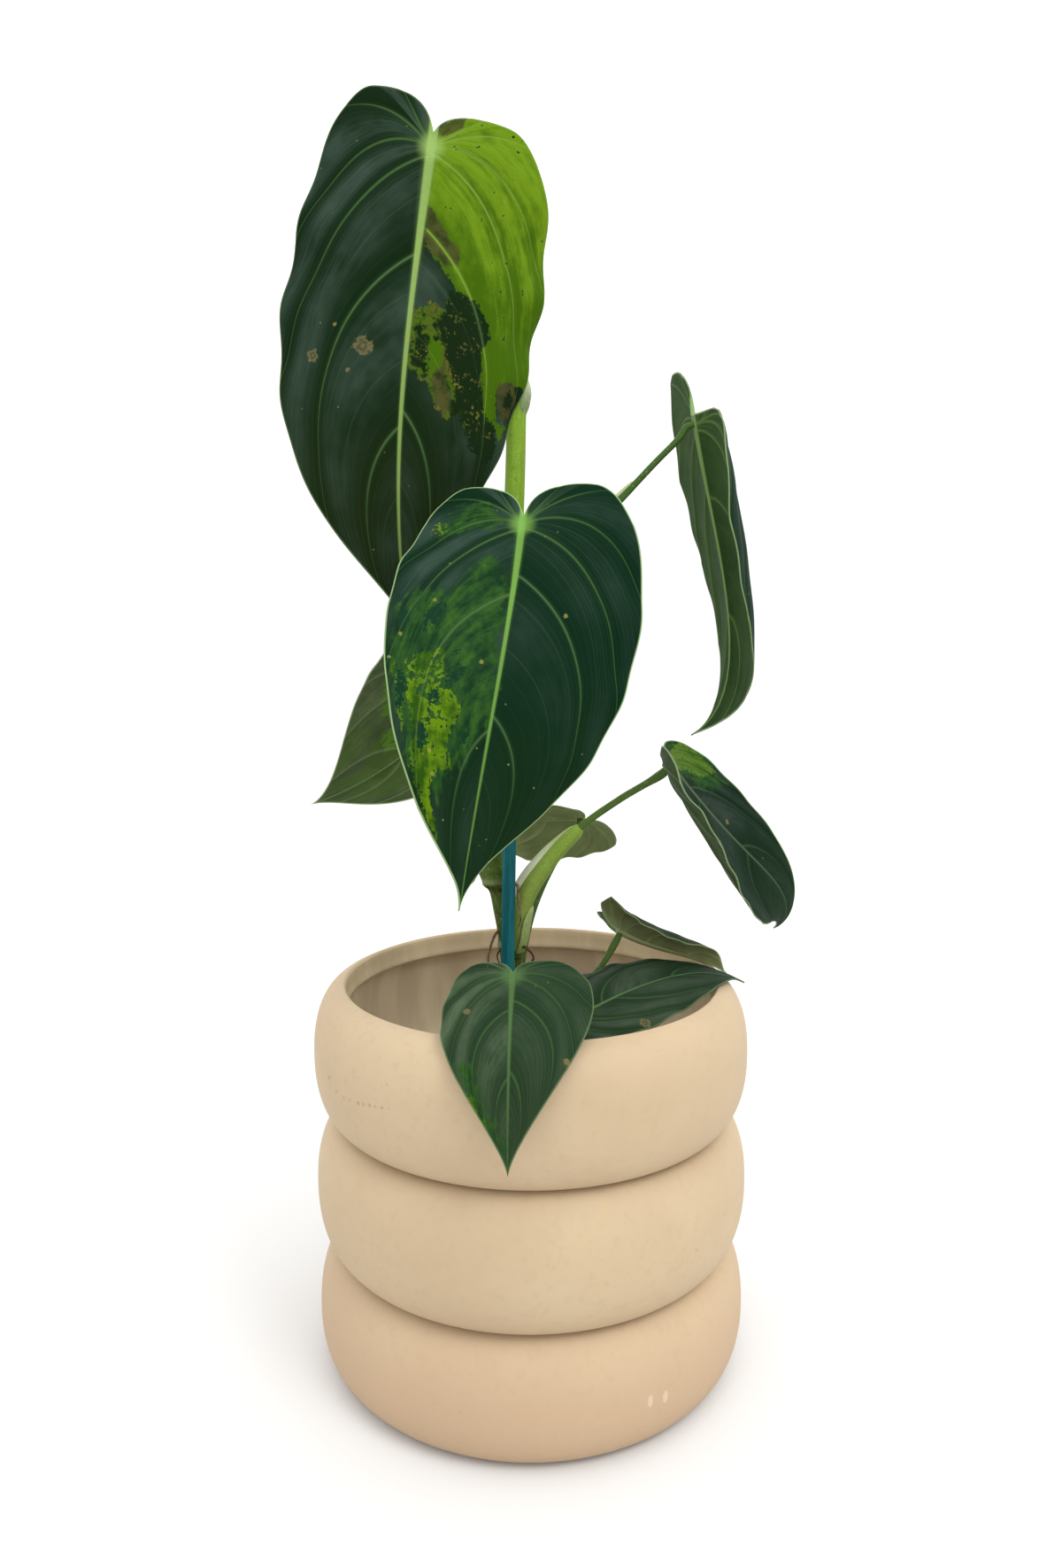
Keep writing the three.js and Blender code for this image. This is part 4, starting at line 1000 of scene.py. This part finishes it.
def outer_glaze():
    """Matte peach glaze with scuffs, specks, a faint smear on the middle ring and two pale nicks."""
    finish = new_finish("matte_peach_ceramic", 0.6, 0.18)
    place = object_place(finish)
    x, y, z = parts_of(place)
    mottle, fine = clouds(place, 11, 4), clouds(place, 240)
    colour = layered(
        over((0.46, 0.347, 0.222), (0.5, 0.388, 0.25), rise(mottle, 0.35, 0.68)),
        # Painted shade: the glaze turns darker and warmer towards the foot
        ((0.465, 0.32, 0.205), rise(z, 75 * MM, 20 * MM) * 0.7),
        ((0.43, 0.312, 0.195), rise(fine, 0.5, 0.72) * 0.3))
    front = y.through("LESS_THAN", 0)
    picture, slim_picture = triple(x, 0, z), triple(x * NICK_SLIMNESS, 0, z)
    drag = clouds(triple(x * 900, 0, z * 2200), 1, 3, 0.7)
    for spot_x, spot_z, radius in POT_SCUFFS:
        away = distance(picture, (spot_x * MM, 0, spot_z * MM))
        mark = rise(drag * (2.4 * radius * MM) + away, 1.9 * radius * MM, radius * MM)
        colour = over(colour, SCUFF_TONE, mark * front * 0.6)
    slant = z * -0.72 + (x + 49.6 * MM)
    smear = rise(abs(slant), 3.4 * MM, 0.6 * MM) * rise(z, 90 * MM, 95 * MM) * rise(z, 115 * MM, 108 * MM)
    colour = over(colour, SMEAR_TONE, smear * front * rise(drag, 0.3, 0.6) * 0.45)
    for spot_x, spot_z in POT_NICKS:
        away = distance(slim_picture, (spot_x * NICK_SLIMNESS * MM, 0, spot_z * MM))
        nick = rise(drag * (3 * MM) + away, 4.6 * MM, 3.6 * MM)
        colour = over(colour, NICK_TONE, nick * front * 0.45)
    relief = clouds(place, 900, 2) * 0.35 + fine * 0.5
    return surfaced(finish, colour, relief, 0.00022, 0.55, ramp(mottle, 0.48, 0.66))


def crumb_finish(name, dark, light, scale, roughness=0.9):
    """Rough broken surface, as bark, soil, dry roots and perlite have."""
    finish = new_finish(name, roughness, 0.2)
    place = object_place(finish)
    coarse, fine = clouds(place, scale, 4, 0.65), clouds(place, scale * 6, 3, 0.6)
    colour = over(dark, light, rise(fine * 0.5 + coarse * 0.7, 0.42, 0.78))
    return surfaced(finish, colour, coarse + fine, 0.0006, 0.8)


def plastic_finish():
    """Black moulded plastic, dulled by soil dust."""
    finish = new_finish("black_moulded_plastic", 0.48, 0.4)
    place = object_place(finish)
    dust = clouds(place, 45, 5, 0.65)
    colour = over((0.012, 0.012, 0.012), (0.075, 0.06, 0.045), rise(dust, 0.5, 0.75))
    return surfaced(finish, colour, clouds(place, 500, 2), 0.0002, 0.5, ramp(dust, 0.35, 0.8))


def painted_wood_finish():
    """Teal stain on straight-grained wood, worn paler along its grain."""
    finish = new_finish("teal_stained_wood", 0.6, 0.1)
    place = object_place(finish)
    grain, broad = grained(place, 1500, 40, 5, 0.65), grained(place, 300, 22)
    colour = layered(
        over((0.003, 0.07, 0.082), (0.01, 0.13, 0.14), rise(broad, 0.35, 0.7)),
        ((0.002, 0.03, 0.042), rise(grain, 0.52, 0.75) * 0.6),
        ((0.05, 0.2, 0.21), rise(grain, 0.42, 0.28) * 0.4))
    return surfaced(finish, colour, grain, 0.0004, 0.8)


# Camera, light and floor

camera_data = bpy.data.cameras.new("viewpoint")
camera_data.sensor_width = SENSOR
camera_data.lens = SENSOR * FOCAL_PIXELS / PICTURE_HEIGHT
camera = placed("viewpoint", camera_data)
camera.location = CAMERA_PLACE
camera.rotation_euler = (math.pi / 2 - CAMERA_DIP, 0, 0)
bpy.context.scene.camera = camera
bpy.context.scene.view_settings.view_transform = "Standard"

world = bpy.data.worlds.new("studio")
world.use_nodes = True
sky = world.node_tree
skyward = parts_of(add(sky, "ShaderNodeTexCoord")["Generated"])[2]
sky.links.new(ramp(skyward, HORIZON_LIGHT, OVERHEAD_LIGHT).socket, sky.nodes["Background"].inputs["Strength"])
sky.nodes["Background"].inputs["Color"].default_value = (1, 1, 1, 1)
bpy.context.scene.world = world

KEY_PLACE, KEY_AIM = np.array((0.9, -1.0, 1.7)), np.array((0, 0, 0.25))
key_data = bpy.data.lights.new("key_light", "AREA")
key_data.shape, key_data.size, key_data.energy = "DISK", 0.9, 14
key_light = placed("key_light", key_data)
key_light.location = KEY_PLACE
away = KEY_PLACE - KEY_AIM
key_light.rotation_euler = (
    math.atan2(math.hypot(away[0], away[1]), away[2]), 0, math.atan2(away[1], away[0]) + math.pi / 2)

FLOOR_RADIUS, FLOOR_EDGE, FLOOR_TOP, FLOOR_UNDERSIDE, FLOOR_SIDES = 9000, 8900, -0.5, -6, 64
floor_finish = new_finish("pale_floor", 0.8, 0.1)
floor_grain = clouds(object_place(floor_finish), 3)
surfaced(floor_finish, over((0.66, 0.66, 0.655), (0.68, 0.68, 0.675), floor_grain))
floor = make_piece("floor", *turned([
    (0, FLOOR_UNDERSIDE), (FLOOR_RADIUS, FLOOR_UNDERSIDE), (FLOOR_RADIUS, FLOOR_TOP), (FLOOR_EDGE, FLOOR_TOP),
    (0, FLOOR_TOP)], FLOOR_SIDES), [floor_finish])


# Cover pot

def pot_radius(z):
    """Outer radius: three squarish rings, the lowest drawn in to the foot."""
    ring = np.clip(np.floor((z + POT_CUT) / RING_HEIGHT), 0, RING_COUNT - 1)
    middle = ring * RING_HEIGHT - POT_CUT + RING_HEIGHT / 2
    low = (z < middle) & (ring == 0)

    def swollen(inner, t):
        return inner + (POT_RADIUS - inner) * (1 - t ** RING_SQUARENESS) ** (1 / RING_SQUARENESS)

    radius = swollen(OPENING_RADIUS, np.minimum(1, np.abs(z - middle) / (RING_HEIGHT / 2)))
    return np.where(low, swollen(FOOT_RADIUS, np.where(low, np.minimum(1, (middle - z) / middle), 0)), radius)


def arc(centre, radius, start, end, count):
    angle = np.linspace(start, end, count)
    return np.stack([centre[0] + radius * np.cos(angle), centre[1] + radius * np.sin(angle)], -1)


def wall_line(low, high, inset, count):
    """Wall profile with its grooves filleted by glaze."""
    z = np.linspace(low, high, WALL_POINTS)
    radius = pot_radius(z)
    for groove in (RING_HEIGHT - POT_CUT, 2 * RING_HEIGHT - POT_CUT):
        # A fillet is the highest of the wall and a small round rest in the groove
        reach = np.abs(z - groove)
        sunk = np.sqrt(np.maximum(0, GROOVE_FILLET ** 2 - np.minimum(reach, GROOVE_FILLET) ** 2)) * 0.7
        rest = np.maximum(radius, OPENING_RADIUS + GROOVE_REST - sunk)
        radius = np.where(reach < GROOVE_FILLET, rest, radius)
    return evened(np.stack([radius - inset, z], -1), count)[0]


outside = wall_line(0.9, POT_HEIGHT - 0.6, 0, OUTSIDE_POINTS)
inside = wall_line(POT_FLOOR + FLOOR_CORNER, POT_HEIGHT - LIP_BAND - 3, POT_WALL, INSIDE_POINTS)[::-1]
band_foot = POT_HEIGHT - LIP_BAND
lip = np.vstack([
    arc((OPENING_RADIUS + 2.6, POT_HEIGHT - 1.4), 1.4, math.pi / 2 - 0.2, math.pi - 0.15, 9),
    [(OPENING_RADIUS + 0.9, POT_HEIGHT - 4), (OPENING_RADIUS + 0.7, band_foot + 0.8),
     (OPENING_RADIUS + 0.2, band_foot - 0.2), (OPENING_RADIUS + 0.6, band_foot - 1.6)]])
underneath = [
    (0, 1.6), (FOOT_RADIUS - 12, 1.6), (FOOT_RADIUS - 10.5, 0.5), (FOOT_RADIUS - 9, 0),
    (FOOT_RADIUS - 2.2, 0)]
inner_corner = arc(
    (inside[-1, 0] - FLOOR_CORNER, POT_FLOOR + FLOOR_CORNER), FLOOR_CORNER, 0, -math.pi / 2, 8)[1:]
pot_points, pot_faces = turned(
    np.vstack([underneath, outside, lip, inside, inner_corner, [(0, POT_FLOOR)]]), POT_SIDES)
# Slip-cast walls are never quite true
pot_away = np.hypot(pot_points[:, 0], pot_points[:, 1])
swell = 0.22 * np.sin(3 * np.arctan2(pot_points[:, 1], pot_points[:, 0]) + pot_points[:, 2] / 40)
pot_points[:, :2] *= (1 + swell * np.clip(pot_away / 60 - 0.6, 0, 1) / 100)[:, None]
within = np.arange(len(pot_faces)) // POT_SIDES > len(underneath) + len(outside) + 4
pot = make_piece("ringed_pot", pot_points, pot_faces, [outer_glaze(), inner_glaze()], within)
settle(pot, "pot_ceramic", "cover_pot")

# Nursery pot, with a rolled rim and moulded ribs
base, height, wall = NURSERY_BASE, NURSERY_HEIGHT, NURSERY_WALL
slope, rim_low = (NURSERY_TOP - base) / height, height - NURSERY_RIM_HEIGHT
ribs = enumerate(np.linspace(4, rim_low - 3, NURSERY_RIBS))
nursery_outline = [
    (0, 0.6), (base - 8, 0.6), (base - 6, 0), (base - 1, 0), (base, 0.8),
    *((base + slope * z + RIB_DEPTH * (i % 2), z) for i, z in ribs),
    (base + slope * rim_low, rim_low), (NURSERY_RIM - 0.6, rim_low), (NURSERY_RIM, rim_low + 0.6),
    (NURSERY_RIM, height - 1), (NURSERY_RIM - 0.8, height), (NURSERY_TOP - 0.6, height),
    (NURSERY_TOP - wall, height - 0.8), (base - wall, wall + 1), (0, wall + 0.6)]
nursery_body = turned([(radius, z + NURSERY_FLOOR) for radius, z in nursery_outline], NURSERY_SIDES)
nursery = make_piece("nursery_pot_inside", *nursery_body, [plastic_finish()])
settle(nursery, "nursery_plastic", "nursery_pot")


# Substrate: a soil bed strewn with bark chips and perlite

def soil_height(x, y):
    away = np.hypot(x, y) / NURSERY_TOP
    return SOIL_TOP + SOIL_HUMP * (1 - away * away) + SOIL_WAVE * np.sin(x / 9) * np.cos(y / 7)


bed_outline = [(0, NURSERY_FLOOR + 2.2), (NURSERY_BASE - 3.4, NURSERY_FLOOR + 2.2), (SOIL_RADIUS, SOIL_TOP)]
bed_outline += [(SOIL_RADIUS * (1 - k / BED_RINGS), SOIL_TOP) for k in range(1, BED_RINGS + 1)]
bed_points, bed_faces = turned(bed_outline, BED_SIDES)
upper_bed = bed_points[:, 2] > SOIL_TOP - 0.01
bx, by = bed_points[upper_bed, 0], bed_points[upper_bed, 1]
crumble = 0.7 * np.sin(bx * 1.3 + 2 * np.sin(by * 0.9)) * np.cos(by * 1.1 + np.sin(bx * 0.7))
bed_points[upper_bed, 2] = soil_height(bx, by) + crumble * np.clip(3 - np.hypot(bx, by) / 25, 0, 1)
soil_finish = crumb_finish("dark_potting_soil", (0.012, 0.008, 0.005), (0.07, 0.045, 0.027), 160)
soil = make_piece("soil_bed", bed_points, bed_faces, [soil_finish])
settle(soil, "substrate", "substrate")


def strewn(name, finish, density, size, flatness, seed):
    """Small pieces lying scattered over the upper face of the soil bed."""
    tree = bpy.data.node_groups.new(name, "GeometryNodeTree")
    tree.interface.new_socket("Bed", in_out="INPUT", socket_type="NodeSocketGeometry")
    for label, kind, value in (
            ("Reach", "Float", (SOIL_RADIUS - size / 2) * MM), ("Density", "Float", density),
            ("Size", "Float", size * MM), ("Flatness", "Float", flatness), ("Seed", "Int", seed)):
        socket = tree.interface.new_socket(label, in_out="INPUT", socket_type="NodeSocket" + kind)
        socket.default_value = value
    tree.interface.new_socket("Pieces", in_out="OUTPUT", socket_type="NodeSocketGeometry")

    def node(kind, inlets=None, **settings):
        return add(tree, kind, inlets, **settings)

    given = node("NodeGroupInput")
    upward = parts_of(node("GeometryNodeInputNormal")[0])[2]
    facing_up = node("FunctionNodeCompare", {0: upward, 1: 0.5}, operation="GREATER_THAN")[0]
    level = node("ShaderNodeVectorMath", {
        0: node("GeometryNodeInputPosition")[0], 1: (1, 1, 0)}, operation="MULTIPLY")[0]
    inside = node("FunctionNodeCompare", {
        0: distance(level, (0, 0, 0)), 1: given["Reach"]}, operation="LESS_THAN")[0]
    chosen = node("FunctionNodeBooleanMath", {0: facing_up, 1: inside}, operation="AND")[0]
    spots = node("GeometryNodeDistributePointsOnFaces", {
        "Mesh": given["Bed"], "Selection": chosen, "Density": given["Density"], "Seed": given["Seed"]})
    ball = node("GeometryNodeMeshIcoSphere", {"Radius": 0.5, "Subdivisions": 2})[0]
    dents = node("ShaderNodeTexNoise", {"Scale": 2.3, "Detail": 1})["Color"]
    pushed = node("ShaderNodeVectorMath", {0: dents, 1: (0.5, 0.5, 0.5)}, operation="SUBTRACT")[0]
    lump = node("GeometryNodeSetPosition", {"Geometry": ball, "Offset": pushed})[0]
    spin = node("FunctionNodeRandomValue", {
        0: (-0.5, -0.5, 0), 1: (0.5, 0.5, 6.28), "Seed": given["Seed"]}, data_type="FLOAT_VECTOR")[0]
    length = node("FunctionNodeRandomValue", {2: 0.55, 3: 1.25, "Seed": given["Seed"]})[1] * given["Size"]
    lopsided = node("FunctionNodeRandomValue", {2: 0.55, 3: 1.0, "Seed": 5})[1]
    laid = node("GeometryNodeInstanceOnPoints", {
        "Points": spots["Points"], "Instance": lump, "Rotation": spin,
        "Scale": triple(length, length * lopsided, length * given["Flatness"])})[0]
    real = node("GeometryNodeRealizeInstances", {0: laid})[0]
    pieces = node("GeometryNodeSetMaterial", {"Geometry": real, "Material": finish})[0]
    node("NodeGroupOutput", {0: pieces})
    holder = placed(name + "_holder", soil.data)
    scatter = holder.modifiers.new("scatter", "NODES")
    scatter.node_group = tree
    for item in tree.interface.items_tree:
        if item.in_out == "INPUT" and item.socket_type != "NodeSocketGeometry":
            scatter[item.identifier] = item.default_value
    plain = bpy.data.meshes.new_from_object(holder.evaluated_get(bpy.context.evaluated_depsgraph_get()))
    bpy.data.objects.remove(holder)
    plain.name = name
    settle(placed(name, plain), "substrate")


bark_finish = crumb_finish("orchid_bark", (0.05, 0.024, 0.012), (0.24, 0.125, 0.06), 220)
perlite_finish = crumb_finish("white_perlite", (0.6, 0.57, 0.52), (0.85, 0.84, 0.8), 500)
strewn("bark_chips", bark_finish, 34000, 9, 0.38, 3)
strewn("perlite", perlite_finish, 9000, 3.6, 0.85, 8)

# Stem with its nodes, leaf scars, bud and the thick roots at its foot
stem_line = smooth_route(STEM_ROUTE, STEM_STEPS)
stem_height = stem_line[:, 2]
stem_radius = spread(STEM_RADII, len(stem_line))
for height in STEM_NODES:
    away = stem_height - height
    stem_radius += NODE_SWELL * hump(away, NODE_HALF_HEIGHT) + 0.35 * hump(away - 1.2, 0.5)
    stem_radius -= 0.3 * hump(away + 1.4, 0.6)
stem_radius += NODE_SKIRT * hump(stem_height - NODE_SKIRT_AT, NODE_SKIRT_HEIGHT)
stem_radius += SWOLLEN_BY * hump(stem_height - SWOLLEN_AT, SWOLLEN_HEIGHT)


def ribbed(angle, share):
    """Shallow ridges down a living stalk."""
    return 1 + 0.018 * np.cos(7 * angle + 3 * share) + 0.02 * np.cos(2 * angle + 9 * share)


def three_sided(angle, share):
    """Section of the bud, whose scales meet in three low edges."""
    return 1 + 0.06 * np.cos(3 * angle)


bodies = [
    tube(stem_line, stem_radius, STEM_SIDES, ribbed),
    tube(smooth_route(BUD_ROUTE, BUD_STEPS), spread(BUD_RADII, BUD_STEPS), BUD_SIDES, three_sided)]
foot = np.array(STEM_ROUTE[0], float)
for i in range(SOIL_ROOTS):
    angle = i / SOIL_ROOTS * 2 * math.pi + 0.4
    outward = np.array((math.cos(angle), math.sin(angle), 0))
    root_line = smooth_route((
        foot + (0, 0, 6), foot + 12 * outward + (0, 0, 2),
        foot + SOIL_ROOT_REACH * outward - (0, 0, SOIL_ROOT_DROP)), SOIL_ROOT_STEPS)
    bodies.append(tube(root_line, np.linspace(2.2, 1.1, SOIL_ROOT_STEPS), ROOT_SIDES))
points, faces, kinds = joined(*bodies)
stem_finishes = [
    stalk_finish(
        "stem_skin", (0.04, 0.06, 0.014), (0.155, 0.27, 0.018), 190, 330, (0.3, 0.4, 0.14), STEM_SCARS),
    stalk_finish("bud_scale", (0.15, 0.21, 0.08), (0.34, 0.38, 0.24), 430, 446, (0.42, 0.45, 0.32)),
    crumb_finish("dry_root", (0.02, 0.011, 0.006), (0.09, 0.05, 0.024), 300, 0.8)]
root_finish = stem_finishes[-1]
stem = make_piece("stem_with_bud", points, faces, stem_finishes, np.minimum(kinds, 2))
settle(stem, "stem", "stem")


# Stake

def square_section(angle, share):
    """Square with slightly eased corners."""
    return 1 / (np.abs(np.cos(angle)) ** 9 + np.abs(np.sin(angle)) ** 9) ** (1 / 9)


stake_body = tube(
    np.linspace(STAKE_FOOT, STAKE_HEAD, STAKE_STEPS), np.full(STAKE_STEPS, STAKE_WIDTH / 2), STAKE_SIDES,
    square_section)
stake = make_piece("teal_stake", *stake_body, [painted_wood_finish()])
settle(stake, "stake_wood", "stake")


# Aerial roots, wiry and slightly knotted, and the small ones that cling to the stem

def root_body(thickness, route):
    share = np.linspace(0, 1, ROOT_STEPS)
    knots = 0.12 * np.sin(31 * share) * np.cos(17 * share)
    return tube(smooth_route(route, ROOT_STEPS), thickness * (1 - 0.5 * share ** 2 + knots), ROOT_SIDES)


tan_root_finish = crumb_finish("tan_root", (0.07, 0.045, 0.02), (0.26, 0.19, 0.1), 330, 0.8)
for name, (thickness, route) in AERIAL_ROOTS.items():
    worn = root_finish if name == "left" else tan_root_finish
    root = make_piece("wiry_root_" + name, *root_body(thickness, route), [worn])
    settle(root, "root", "aerial_root_" + name)
points, faces, _ = joined(*(root_body(*wisp) for wisp in WISPS))
settle(make_piece("root_wisps", points, faces, [root_finish]), "root")


# Petioles

def thin_sheet(front, back):
    """Closed sheet between two grids of points, the front one facing outward."""
    rows, columns = front.shape[:2]
    index = np.arange(rows * columns).reshape(rows, columns)
    low = index + rows * columns
    quads = [
        (index[:-1, :-1], index[:-1, 1:], index[1:, 1:], index[1:, :-1]),
        (low[:-1, :-1], low[1:, :-1], low[1:, 1:], low[:-1, 1:]),
        (index[:-1, 0], index[1:, 0], low[1:, 0], low[:-1, 0]),
        (index[1:, -1], index[:-1, -1], low[:-1, -1], low[1:, -1]),
        (index[0, 1:], index[0, :-1], low[0, :-1], low[0, 1:]),
        (index[-1, :-1], index[-1, 1:], low[-1, 1:], low[-1, :-1])]
    points = np.vstack([front.reshape(-1, 3), back.reshape(-1, 3)])
    return points, halved(np.vstack([quads_of(*quad) for quad in quads]))


def sheet_places(line, columns):
    """Shares along a petiole and across the thin sheet that it carries."""
    return np.linspace(0, 1, len(line))[:, None], np.linspace(0, 1, columns)[None, :]


def wrapped_flap(line, low_angle, high_angle, reach, thickness):
    """Loose margin of a sheath, wrapped round the petiole from one angle to another."""
    share, across = sheet_places(line, FLAP_COLUMNS)
    angle = low_angle(share) + (high_angle - low_angle(share)) * across
    return thin_sheet(*(round_route(line, angle, reach(share, across) - inset) for inset in (0, thickness)))


def sheath_wing(line, turn, curl, inner, outer, thickness):
    """Papery wing that stands off a petiole along one side."""
    share, across = sheet_places(line, WING_COLUMNS)
    angle = turn + curl * across ** 2
    middle = round_route(line, angle, inner(share) + (outer(share) - inner(share)) * across)
    half = round_route(line, angle + math.pi / 2, thickness / 2 * (1 - 0.7 * across)) - line[:, None]
    return thin_sheet(middle - half, middle + half)


def grooved(angle, share):
    """Round section with a shallow groove along the petiole's front."""
    return 1 - 0.1 * hump(np.sin(angle / 2), 0.25)


def broad_wing(share):
    """Outer margin of the low petiole's papery wing, against the share of its length."""
    return 4.4 - 1.6 * share ** 3 + 3.7 * np.sin(math.pi * (0.2 + 0.75 * share)) ** 0.8 * (1 - 0.5 * share)


def flap_start(share):
    return 0.15 + 0.5 * share ** 2 + 0.5 * share ** 10


def flap_reach(share, across):
    return 4 + 1.5 * share * (1 - 0.6 * share ** 12) + 0.35 * np.sin(math.pi * across) * share


def petiole_line(leaf):
    facing = unit(leaf.facing)
    junction = np.array(leaf.junction, float)
    return smooth_route([*leaf.petiole, junction - 5 * facing, junction - 0.4 * facing], PETIOLE_STEPS)


petiole_finish = stalk_finish(
    "petiole_skin", (0.066, 0.12, 0.02), (0.04, 0.09, 0.014), 200, 400, (0.26, 0.38, 0.14))
flap_finish = stalk_finish("sheath_flap", (0.26, 0.33, 0.11), (0.3, 0.38, 0.14), 190, 212, (0.42, 0.5, 0.26))
sheath_finish = stalk_finish(
    "sheath_skin", (0.22, 0.29, 0.07), (0.18, 0.275, 0.035), 185, 250, (0.4, 0.5, 0.22))
wing_finish = stalk_finish("papery_wing", (0.7, 0.72, 0.58), (0.36, 0.43, 0.2), 215, 250, (0.5, 0.54, 0.4))

for name in LEAVES:
    leaf = complete_leaf(LEAVES[name])
    line = petiole_line(leaf)
    run = np.linspace(0, 1, PETIOLE_STEPS) * paces(line).sum()
    # The knuckle below the blade is thicker, and the base flares to clasp the stem
    radius = (spread(leaf.radii, PETIOLE_STEPS) + leaf.knuckle * hump(run[-1] - run - 7, 5)
              + 0.9 * np.exp(-run / 2.5))
    bodies, worn = [tube(line, radius, PETIOLE_SIDES, grooved)], [petiole_finish]
    if name == "right_low":
        worn = [petiole_finish, sheath_finish, wing_finish, flap_finish]
        sheath = line[SHEATH_SPAN]
        sheath_radius = np.interp(np.linspace(0, 1, len(sheath)), SHEATH_SHARES, SHEATH_RADII)
        bodies.append(tube(sheath, sheath_radius, PETIOLE_SIDES, ribbed))
        bodies.append(sheath_wing(
            line[WING_SPAN], -1.45, -0.5, lambda share: 3.2 - 1.2 * share, broad_wing, 0.5))
        bodies.append(wrapped_flap(line[FLAP_SPAN], flap_start, 2.6, flap_reach, 0.55))
    if name == "right_high":
        worn = [petiole_finish, wing_finish]
        bodies.append(sheath_wing(
            line[HIGH_WING_SPAN], -1.5, -0.3, lambda share: 1.9 - 0.7 * share,
            lambda share: 1.6 + 1.9 * (1 - share ** 5) ** 0.6, 0.7))
    points, faces, kinds = joined(*bodies)
    settle(make_piece("stalk_" + name, points, faces, worn, kinds), "petiole", "petiole_" + name)

# Blades
# The band tone is the blue-grey painted sheen on the crowns between the veins
USUAL_UPPER = dict(
    deep=(0.004, 0.018, 0.007), low=(0.005, 0.018, 0.006), band=(0.017, 0.036, 0.024), band_right=1,
    marbling=MARBLED, marble_mix=(0.4, 0.3, 0.1, 0.2), marble_softness=2.5, islands=0.62, islands_end=0,
    dark=(0.006, 0.016, 0.004),
    lime=((0.03, 0.075, 0.002), (0.07, 0.14, 0.003)), lime_fall=-0.5, lime_clouds=0.4,
    lime_vein=(0.13, 0.22, 0.02), vein=(0.05, 0.105, 0.034), vein_strength=1, midrib=(0.11, 0.22, 0.06),
    midrib_width=1.4, margin=0.6)
UPPERS = dict(
    top=dict(
        deep=(0.004, 0.015, 0.004), low=(0.007, 0.015, 0.003), band=(0.036, 0.062, 0.044), marbling=MOTTLED,
        marble_mix=(0.15, 0.1, 0.45, 0.3), marble_softness=0.3, islands=0.69, midrib=(0.22, 0.34, 0.09),
        midrib_width=1.6, margin=0.3, lime=((0.042, 0.1, 0.002), (0.115, 0.21, 0.007)), lime_fall=-1.2,
        lime_vein=(0.15, 0.25, 0.03)),
    front=dict(
        deep=(0.002, 0.016, 0.006), low=(0.004, 0.018, 0.005), band=(0.03, 0.056, 0.042), band_right=0.35,
        islands=0.58, islands_end=0.6, dark=(0.004, 0.027, 0.012), lime_fall=-0.2, lime_clouds=1.5,
        lime=((0.016, 0.055, 0.003), (0.085, 0.165, 0.003)), vein_strength=0.85, midrib=(0.13, 0.27, 0.05),
        midrib_width=1.25, margin=0.85),
    right_low=dict(
        deep=(0.003, 0.014, 0.006), band=(0.03, 0.044, 0.034),
        lime=((0.014, 0.05, 0.008), (0.07, 0.135, 0.014)), vein=(0.05, 0.075, 0.045), vein_strength=0.45,
        midrib=(0.06, 0.095, 0.05), midrib_width=1.2),
    rim=dict(
        deep=(0.013, 0.03, 0.013), low=(0.012, 0.026, 0.01), band=(0.075, 0.112, 0.062), band_right=0.3,
        vein_strength=0.5, midrib=(0.06, 0.12, 0.04), midrib_width=1.1, margin=0.25),
    opening=dict(
        deep=(0.011, 0.026, 0.011), band=(0.055, 0.08, 0.05), vein_strength=0.5, midrib=(0.07, 0.14, 0.05),
        midrib_width=0.8, margin=0.25),
    rim_back=dict(deep=(0.03, 0.045, 0.022), band=(0.06, 0.08, 0.045), vein_strength=0.5, midrib_width=0.7),
)
UNDERSIDES = dict(
    right_high=((0.022, 0.05, 0.014), (0.04, 0.078, 0.024), (0.12, 0.2, 0.06)),
    left_back=((0.034, 0.058, 0.019), (0.088, 0.115, 0.052), (0.13, 0.17, 0.085), (0.066, 0.15, 0.014)),
    # Painted light: the back leaf's underside is painted much paler than the others, where it sits in shade
    back=((0.17, 0.215, 0.085), (0.245, 0.3, 0.125), (0.3, 0.37, 0.17)),
    rim_back=((0.11, 0.13, 0.055), (0.17, 0.195, 0.085), (0.22, 0.26, 0.12)),
)
USUAL_UNDERSIDE = ((0.03, 0.055, 0.022), (0.052, 0.082, 0.034), (0.13, 0.2, 0.07))
VARIEGATED = ("top", "front", "left_back", "right_low")
for name in LEAVES:
    upper = upper_finish("velvet_" + name, name, SimpleNamespace(**{**USUAL_UPPER, **UPPERS.get(name, {})}))
    underside = underside_finish("underside_" + name, name, *UNDERSIDES.get(name, USUAL_UNDERSIDE))
    blade = blade_piece(name, upper, underside)
    settle(blade, "blade_variegated" if name in VARIEGATED else "blade_green", "blade_" + name)
